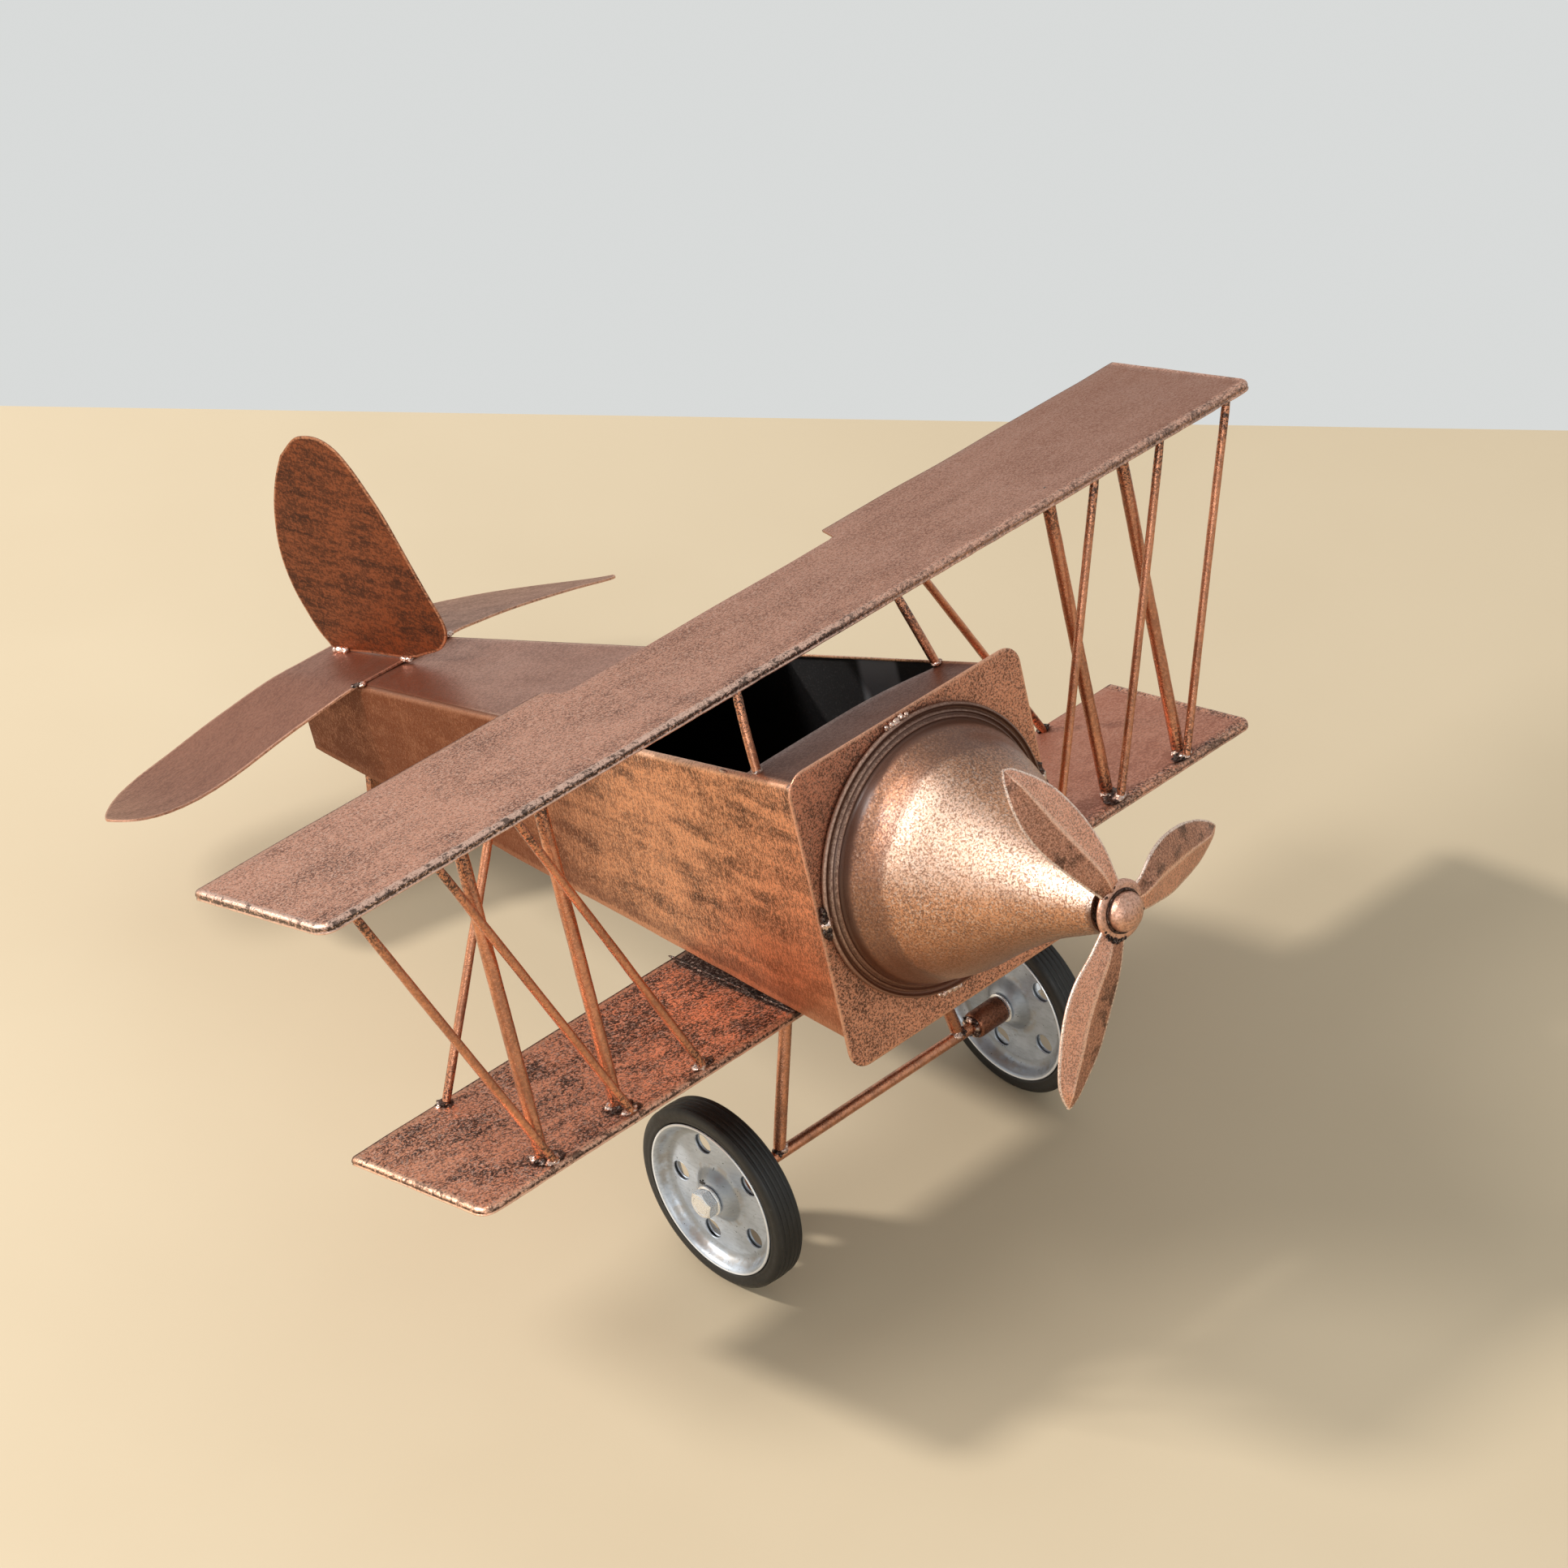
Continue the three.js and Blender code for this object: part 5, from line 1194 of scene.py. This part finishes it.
        # hexagon head with a turned chamfer, set round face with a shallow ring
        N, af, h0, h1 = 72, 13.0, 9.3, 14.5
        hexr = lambda t: af / 2 / math.cos(((t + math.pi / 6) % (math.pi / 3)) - math.pi / 6)
        rings = [[(t, hexr(t) - 0.25, h0) for t in [2 * math.pi * i / N for i in range(N)]],
                 [(t, hexr(t), h0 + 0.3) for t in [2 * math.pi * i / N for i in range(N)]],
                 [(t, hexr(t), h1 - (hexr(t) - 6.15) * 0.55 - 0.12) for t in [2 * math.pi * i / N for i in range(N)]],
                 [(t, 6.1, h1) for t in [2 * math.pi * i / N for i in range(N)]],
                 [(t, 5.0, h1) for t in [2 * math.pi * i / N for i in range(N)]],
                 [(t, 4.75, h1 - 0.22) for t in [2 * math.pi * i / N for i in range(N)]],
                 [(t, 4.5, h1 - 0.02) for t in [2 * math.pi * i / N for i in range(N)]]]
        V, F = [], []
        for rg in rings:
            for t, r, a in rg:
                V.append(place(r, a, t + 0.35))
        for q in range(len(rings) - 1):
            for i in range(N):
                j = (i + 1) % N
                F.append((q * N + i, q * N + j, (q + 1) * N + j, (q + 1) * N + i))
        c = len(V); V.append(place(0, h1 - 0.05, 0))
        F += [((len(rings) - 1) * N + i, (len(rings) - 1) * N + (i + 1) % N, c) for i in range(N)]
        c2 = len(V); V.append(place(0, h0, 0))
        F += [(i, c2, (i + 1) % N) for i in range(N)]
        shank = lathe([(0, 9.4), (4.0, 9.4), (4.0, -13.4), (3.7, -13.6), (0, -13.6)], 32, place, close=False)
        V, F = outward(join([(V, F), shank]))
        make(f"axle_bolt_{side}_hex", V, F, [M_STEEL], replaces=[f"axle_bolt_{side}"], angle=32)
        # boss on the end of the axle, with weld lumps round the joint
        bp = [(0, -28.3), (5.9, -28.3), (6.8, -27.6), (7.1, -26.0), (7.0, -18.0), (7.1, -11.2), (6.8, -9.8), (5.9, -9.35), (4.35, -9.35), (4.35, -16.2), (0, -16.2)]

        def bplace(r, a, t, sx=sx):
            k = 1 + 0.03 * noise.noise(Vector((math.cos(t) * 1.4, math.sin(t) * 1.4, a * 0.1 + sx)))
            return (sx * (X + a), AY + r * k * math.cos(t), AZ + r * k * math.sin(t))
        V, F = outward(lathe(bp, 44, bplace, close=False))
        make(f"axle_boss_{side}_turned", V, F, [M_BOSS], replaces=[f"axle_boss_{side}"], angle=50)
        for i in range(9):
            t = 2 * math.pi * i / 9 + 0.2 * sx
            welds.append(("crust" if i % 2 else "weld", blob((sx * (X - 28.6 - (i % 3) * 0.5), AY + 4.2 * math.cos(t), AZ + 4.2 * math.sin(t)),
                          (1.7, 2.1 + 0.3 * (i % 2), 2.0), i * 1.3 + sx, 0.4, 2)))
        spots = []
        if side == "right":
            for i, (dy, dz, s) in enumerate([(4.6, 7.6, 1.0), (3.3, 8.0, 0.8), (5.9, 7.2, 0.7), (4.3, 8.9, 0.5), (6.8, 7.8, 0.4)]):
                rr = math.hypot(dy, dz)
                a = float(np.interp(rr, [p[0] for p in curve], [p[1] for p in curve])) + 0.1
                spots.append(blob((sx * (X + a), AY + dy, AZ + dz), (0.35, s * 1.5, s * 0.8), i + 3.0, 0.7, 2))
            V, F = join(spots)
            make("wheel_right_paint_spots", V, F, [M_SPOT], body="wheel_right")


wheels()

# ------------------------------------------------------------------ tail
def lerpt(table, x):
    return float(np.interp(x, [p[0] for p in table], [p[1] for p in table]))


def smooth_table(table, n=60):
    return [tuple(p) for p in spline(table, n)]


def tail():
    front = smooth_table([[30, 350.5], [50, 360.5], [70, 369], [90, 375.5], [110, 380], [130, 383.5], [150, 386.5], [160, 389.5], [166, 394], [168.8, 398.5], [169.5, 402]])
    rear = smooth_table([[30, 424.5], [50, 435.5], [70, 444.5], [90, 451], [110, 454.2], [122, 452.8], [134, 447.0], [145, 437], [157, 422.5], [165, 411], [169.5, 402]])
    dr = smooth_table([[0, 0], [20, 0], [31, 0.2], [45, 4.2], [60, 9.2], [90, 18.6], [110, 23.0], [125, 24.6], [140, 23.8], [155, 20.8], [170, 16]])
    dl = smooth_table([[0, 0], [20, 0], [31, 0.2], [45, 3.4], [60, 7.6], [90, 15.8], [120, 24.2], [150, 31.6], [170, 36.5], [178, 38]])
    V, F, E = [], [], []
    at = [0, 10, 20, 27, 31, 34, 38, 44, 50, 58, 66, 75, 85, 95, 105, 115, 125, 134, 142, 149, 155, 160, 163.5, 166.2, 168, 169, 169.45]
    xs = [-a * 168 / 169.5 for a in reversed(at)] + [a * 176 / 169.5 for a in at[1:]]
    steps = [0, 0.02, 0.045, 0.15, 0.3, 0.45, 0.6, 0.75, 0.86, 0.955, 0.98, 1]
    m = len(steps)
    for x in xs:
        ax = abs(x)
        out = ax * (169.5 / 168 if x < 0 else 169.5 / 176)
        if out < 30:
            yf, yr = 350 + out * 0.0167, 424 + out * 0.0167
        else:
            yf, yr = lerpt(front, out), lerpt(rear, out)
        ym = (yf + yr) / 2
        d = lerpt(dr if x < 0 else dl, ax)
        tw = 0.9 * max(0, (x - 31) / 139) if x > 31 else 0
        for us in steps:
            y = yf + (yr - yf) * us
            z = topZ(y) + 0.3 + 1.2 - d - tw * (y - ym) * 0.12
            z += wob(x, y, 0, 0.03, 0.5, 4.0) * min(1, max(0, ax - 31) / 20)
            V.append((x, y, z))
            E.append(min((yr - yf) * us / 1.0, (yr - yf) * (1 - us), 169.5 - out + 0.1))
    for i in range(len(xs) - 1):
        for j in range(m - 1):
            b = i * m + j
            F.append((b, b + m, b + m + 1, b + 1))
    v = [Vector(V[i]) for i in F[len(F) // 2]]
    if (v[1] - v[0]).cross(v[2] - v[1]).z < 0:
        F = [tuple(reversed(f)) for f in F]
    make("stabilizer_leaf", V, F, [M_STAB], inset=E, replaces=["stabilizer"], solid=1.2, bevel=0.3, angle=40)

    foot = lambda y: topZ(y) + 0.3 + 1.2 + 0.3
    pts = [(417.3, 22), (402, 34), (391.6, 37.6), (378.5, 38.4), (366, 34.6), (355.5, 26.2), (346.1, 15.2), (337, 2.6), (329.3, -11.7),
           (321.5, -27), (313.6, -41.5), (307.5, -52), (306, -59), (309, -65.5), (316.5, -71.8), (330, -77.2), (346, foot(346)), (380, foot(380)), (414, foot(414)),
           (420.5, foot(414) + 3.5), (426.5, -83), (433, -73), (438.5, -62.5), (441.6, -51), (442.6, -39), (440.7, -25), (435.7, -9), (427.6, 7)]
    loop = spline(pts + [pts[0]], 130)[:-1]
    c = loop.mean(0)
    loop = c + (loop - c) * 0.994
    V, F = [], []
    n = len(loop)
    rings = (1.0, 0.985, 0.96, 0.7, 0.4, 0.15)
    E = []
    for k in rings:
        for y, z in loop:
            E.append((1 - k) * math.hypot(y - c[0], z - c[1]))
            yy, zz = c[0] + (y - c[0]) * k, c[1] + (z - c[1]) * k
            V.append((0.6 + wob(0, yy, zz, 0.02, 1.0, 9.0) * (0.6 if k < 1 else 0.55), yy, zz))
    for r in range(len(rings) - 1):
        for i in range(n):
            j = (i + 1) % n
            F.append((r * n + i, r * n + j, (r + 1) * n + j, (r + 1) * n + i))
    ci = len(V); V.append((0.6, c[0], c[1])); E.append(30)
    F += [((len(rings) - 1) * n + i, (len(rings) - 1) * n + (i + 1) % n, ci) for i in range(n)]
    v = [Vector(V[i]) for i in F[0]]
    if (v[1] - v[0]).cross(v[2] - v[1]).x < 0:
        F = [tuple(reversed(f)) for f in F]
    make("tail_fin_leaf", V, F, [M_FIN], inset=E, replaces=["tail_fin"], solid=1.2, bevel=0.35, angle=40)
    # welds of the fin and of the stabilizer on the deck
    for i, (y, sz) in enumerate([(408, 2.6), (403, 2.2), (412, 1.6)]):
        welds.append(("weld", blob((-1.8, y, foot(y) + 0.7), (2.3, sz * 1.1, 2.1), i + 20.0, 0.35)))
    for i, y in enumerate([350, 345.5]):
        welds.append(("weld", blob((-1.6, y, foot(y) + 0.3), (1.9, 2.6, 1.5), i + 24.0, 0.4)))
    for i, (x, y) in enumerate([(-31.5, 352), (-29.5, 350.5), (-33.2, 353.5), (-30.6, 348.9)]):
        welds.append(("weld" if i % 2 else "crust", blob((x, y, topZ(y) + 1.0), (1.9, 1.7, 1.0), i + 28.0, 0.45)))
    for i, (x, y) in enumerate([(31.5, 352), (29.5, 350.5)]):
        welds.append(("weld", blob((x, y, topZ(y) + 1.0), (1.9, 1.7, 1.0), i + 33.0, 0.45)))


tail()

# ------------------------------------------------------------------ other welds
def extra_welds():
    # tacks round the cone's flange
    for an, kind in ((95, "weld"), (182, "crust"), (262, "weld"), (2, "crust")):
        for i in range(5):
            t = math.radians(an + (i - 2) * 2.6)
            r = 71.6 + 0.5 * math.sin(i * 2.1)
            sz = 1.9 - 0.35 * abs(i - 2)
            if kind == "crust":
                sz *= 1.5
            welds.append((kind if i != 2 or kind == "weld" else "weld", blob((r * math.cos(t), -51.5, NZ + r * math.sin(t)), (sz * 1.1, sz * 0.7, sz * 1.1), an + i * 1.7, 0.5)))
    # plate corner bead and the bead on the fuselage's top edge
    welds.append(("weld", blob((-68.4, -44.4, topZ(-46.6) - 0.6), (2.2, 2.6, 2.3), 61, 0.35)))
    welds.append(("weld", blob((68.4, -44.4, topZ(-46.6) - 0.6), (2.2, 2.6, 2.3), 62, 0.35)))
    # lower wing to fuselage
    for sx in (1, -1):
        for i in range(26):
            y = 3 + i * 3.9 + 0.8 * math.sin(i * 2.3)
            welds.append(("crust", blob((sx * (halfW(y) + 0.3), y, LO(y) + 0.8), (0.85 + 0.25 * math.sin(i * 1.7), 3.0, 0.6), i + 70 + sx, 0.55, 2)))


extra_welds()
for kind, mat, name in (("weld", M_WELD, "weld_beads"), ("crust", M_CRUST, "weld_crusts")):
    V, F = join([p for k, p in welds if k == kind])
    make(name, V, F, [mat], angle=60)

# ------------------------------------------------------------------ carried-over CAD nodes
def paint(node, mat):
    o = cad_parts[node]
    o.data.materials.clear()
    o.data.materials.append(mat)
    o.data.polygons.foreach_set("use_smooth", [True] * len(o.data.polygons))
    o.data.set_sharp_from_angle(angle=math.radians(35))


paint("fuselage_floor", M_FLOORSHEET)
paint("stern_plate", M_SIDE)
paint("neck_bush", M_CRUST)
paint("propeller_pin", M_ROD)
paint("tail_skid", M_ROD)
for n_ in ("fuselage_floor", "stern_plate", "neck_bush", "propeller_pin", "tail_skid"):
    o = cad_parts[n_]
    mod = o.modifiers.new("edge", "BEVEL")
    mod.width = 0.0003
    mod.segments = 2
    mod.limit_method = "ANGLE"
    mod.angle_limit = math.radians(50)

# ------------------------------------------------------------------ stage, light, camera
def stage():
    k = Mat("table_plain")
    n = k.noise(0.004, 3, 0.5)
    col = k.mix(k.span(n, 0.3, 0.7), (0.495, 0.40, 0.27), (0.515, 0.42, 0.287))
    mat = k.done(col, 0.6, 0.0)
    me = bpy.data.meshes.new("table_top")
    # the table's far edge runs behind the object, the rest reaches past the view
    far0, far1 = Vector((83, 692, 0)), Vector((740, 29, 0))
    d = (far1 - far0).normalized()
    a, b = far0 - d * 2500, far1 + d * 2500
    back = Vector((-0.7, -0.72, 0)) * 3600
    co = [a, b, b + back, a + back]
    me.from_pydata([tuple(v / 1000) for v in co], [], [(0, 3, 2, 1)])
    me.materials.append(mat)
    o = bpy.data.objects.new("table_top", me)
    bpy.context.scene.collection.objects.link(o)
    if me.polygons[0].normal.z < 0:
        me.flip_normals()
    w = bpy.data.worlds.new("studio")
    bpy.context.scene.world = w
    w.use_nodes = True
    bg = w.node_tree.nodes["Background"]
    bg.inputs[0].default_value = (0.96, 0.98, 0.97, 1)
    bg.inputs[1].default_value = 0.72

    def area(name, pos, target, size, power, color=(1, 1, 1)):
        l = bpy.data.lights.new(name, "AREA")
        l.shape = "DISK"
        l.size = size
        l.energy = power
        l.color = color
        o = bpy.data.objects.new(name, l)
        bpy.context.scene.collection.objects.link(o)
        o.location = pos
        o.rotation_euler = (Vector(target) - Vector(pos)).to_track_quat("-Z", "Y").to_euler()
    key = Vector((-0.604, 0.571, 0.549)).normalized()
    area("key", Vector((0, 0, 0.15)) + key * 5.2, (0, 0, 0.15), 0.42, 262, (1.0, 0.965, 0.92))
    box = Vector((-0.55, 0.367, 0.744)).normalized()
    area("soft_box", Vector((0, 0, 0.15)) + box * 2.6, (0, 0, 0.15), 0.8, 34, (1.0, 0.99, 0.98))
    area("soft_front", (-2.4, -2.0, 1.3), (0, 0, 0.15), 1.2, 16, (1.0, 0.98, 0.95))


stage()


def camera():
    Rm = np.array([[0.722804, -0.659918, -0.205091], [-0.440459, -0.211254, -0.872564], [0.532494, 0.721027, -0.443362]])
    RX = np.array([[1, 0, 0], [0, C, S], [0, -S, C]])
    r, d, f = (RX @ Rm[0]), (RX @ Rm[1]), (RX @ Rm[2])
    cam = bpy.data.cameras.new("view")
    cam.lens = 6410.736 / 1932 * 36.0
    cam.sensor_width = 36.0
    cam.sensor_fit = "HORIZONTAL"
    cam.clip_end = 50
    o = bpy.data.objects.new("view", cam)
    bpy.context.scene.collection.objects.link(o)
    pos = A1((-1330.6196, -1748.9943, 1021.1723))
    o.matrix_world = Matrix(((r[0], -d[0], -f[0], pos[0]), (r[1], -d[1], -f[1], pos[1]), (r[2], -d[2], -f[2], pos[2]), (0, 0, 0, 1)))
    bpy.context.scene.camera = o


camera()
bpy.context.scene.view_settings.view_transform = "Standard"
bpy.context.scene.view_settings.look = "None"
bpy.context.view_layer.update()
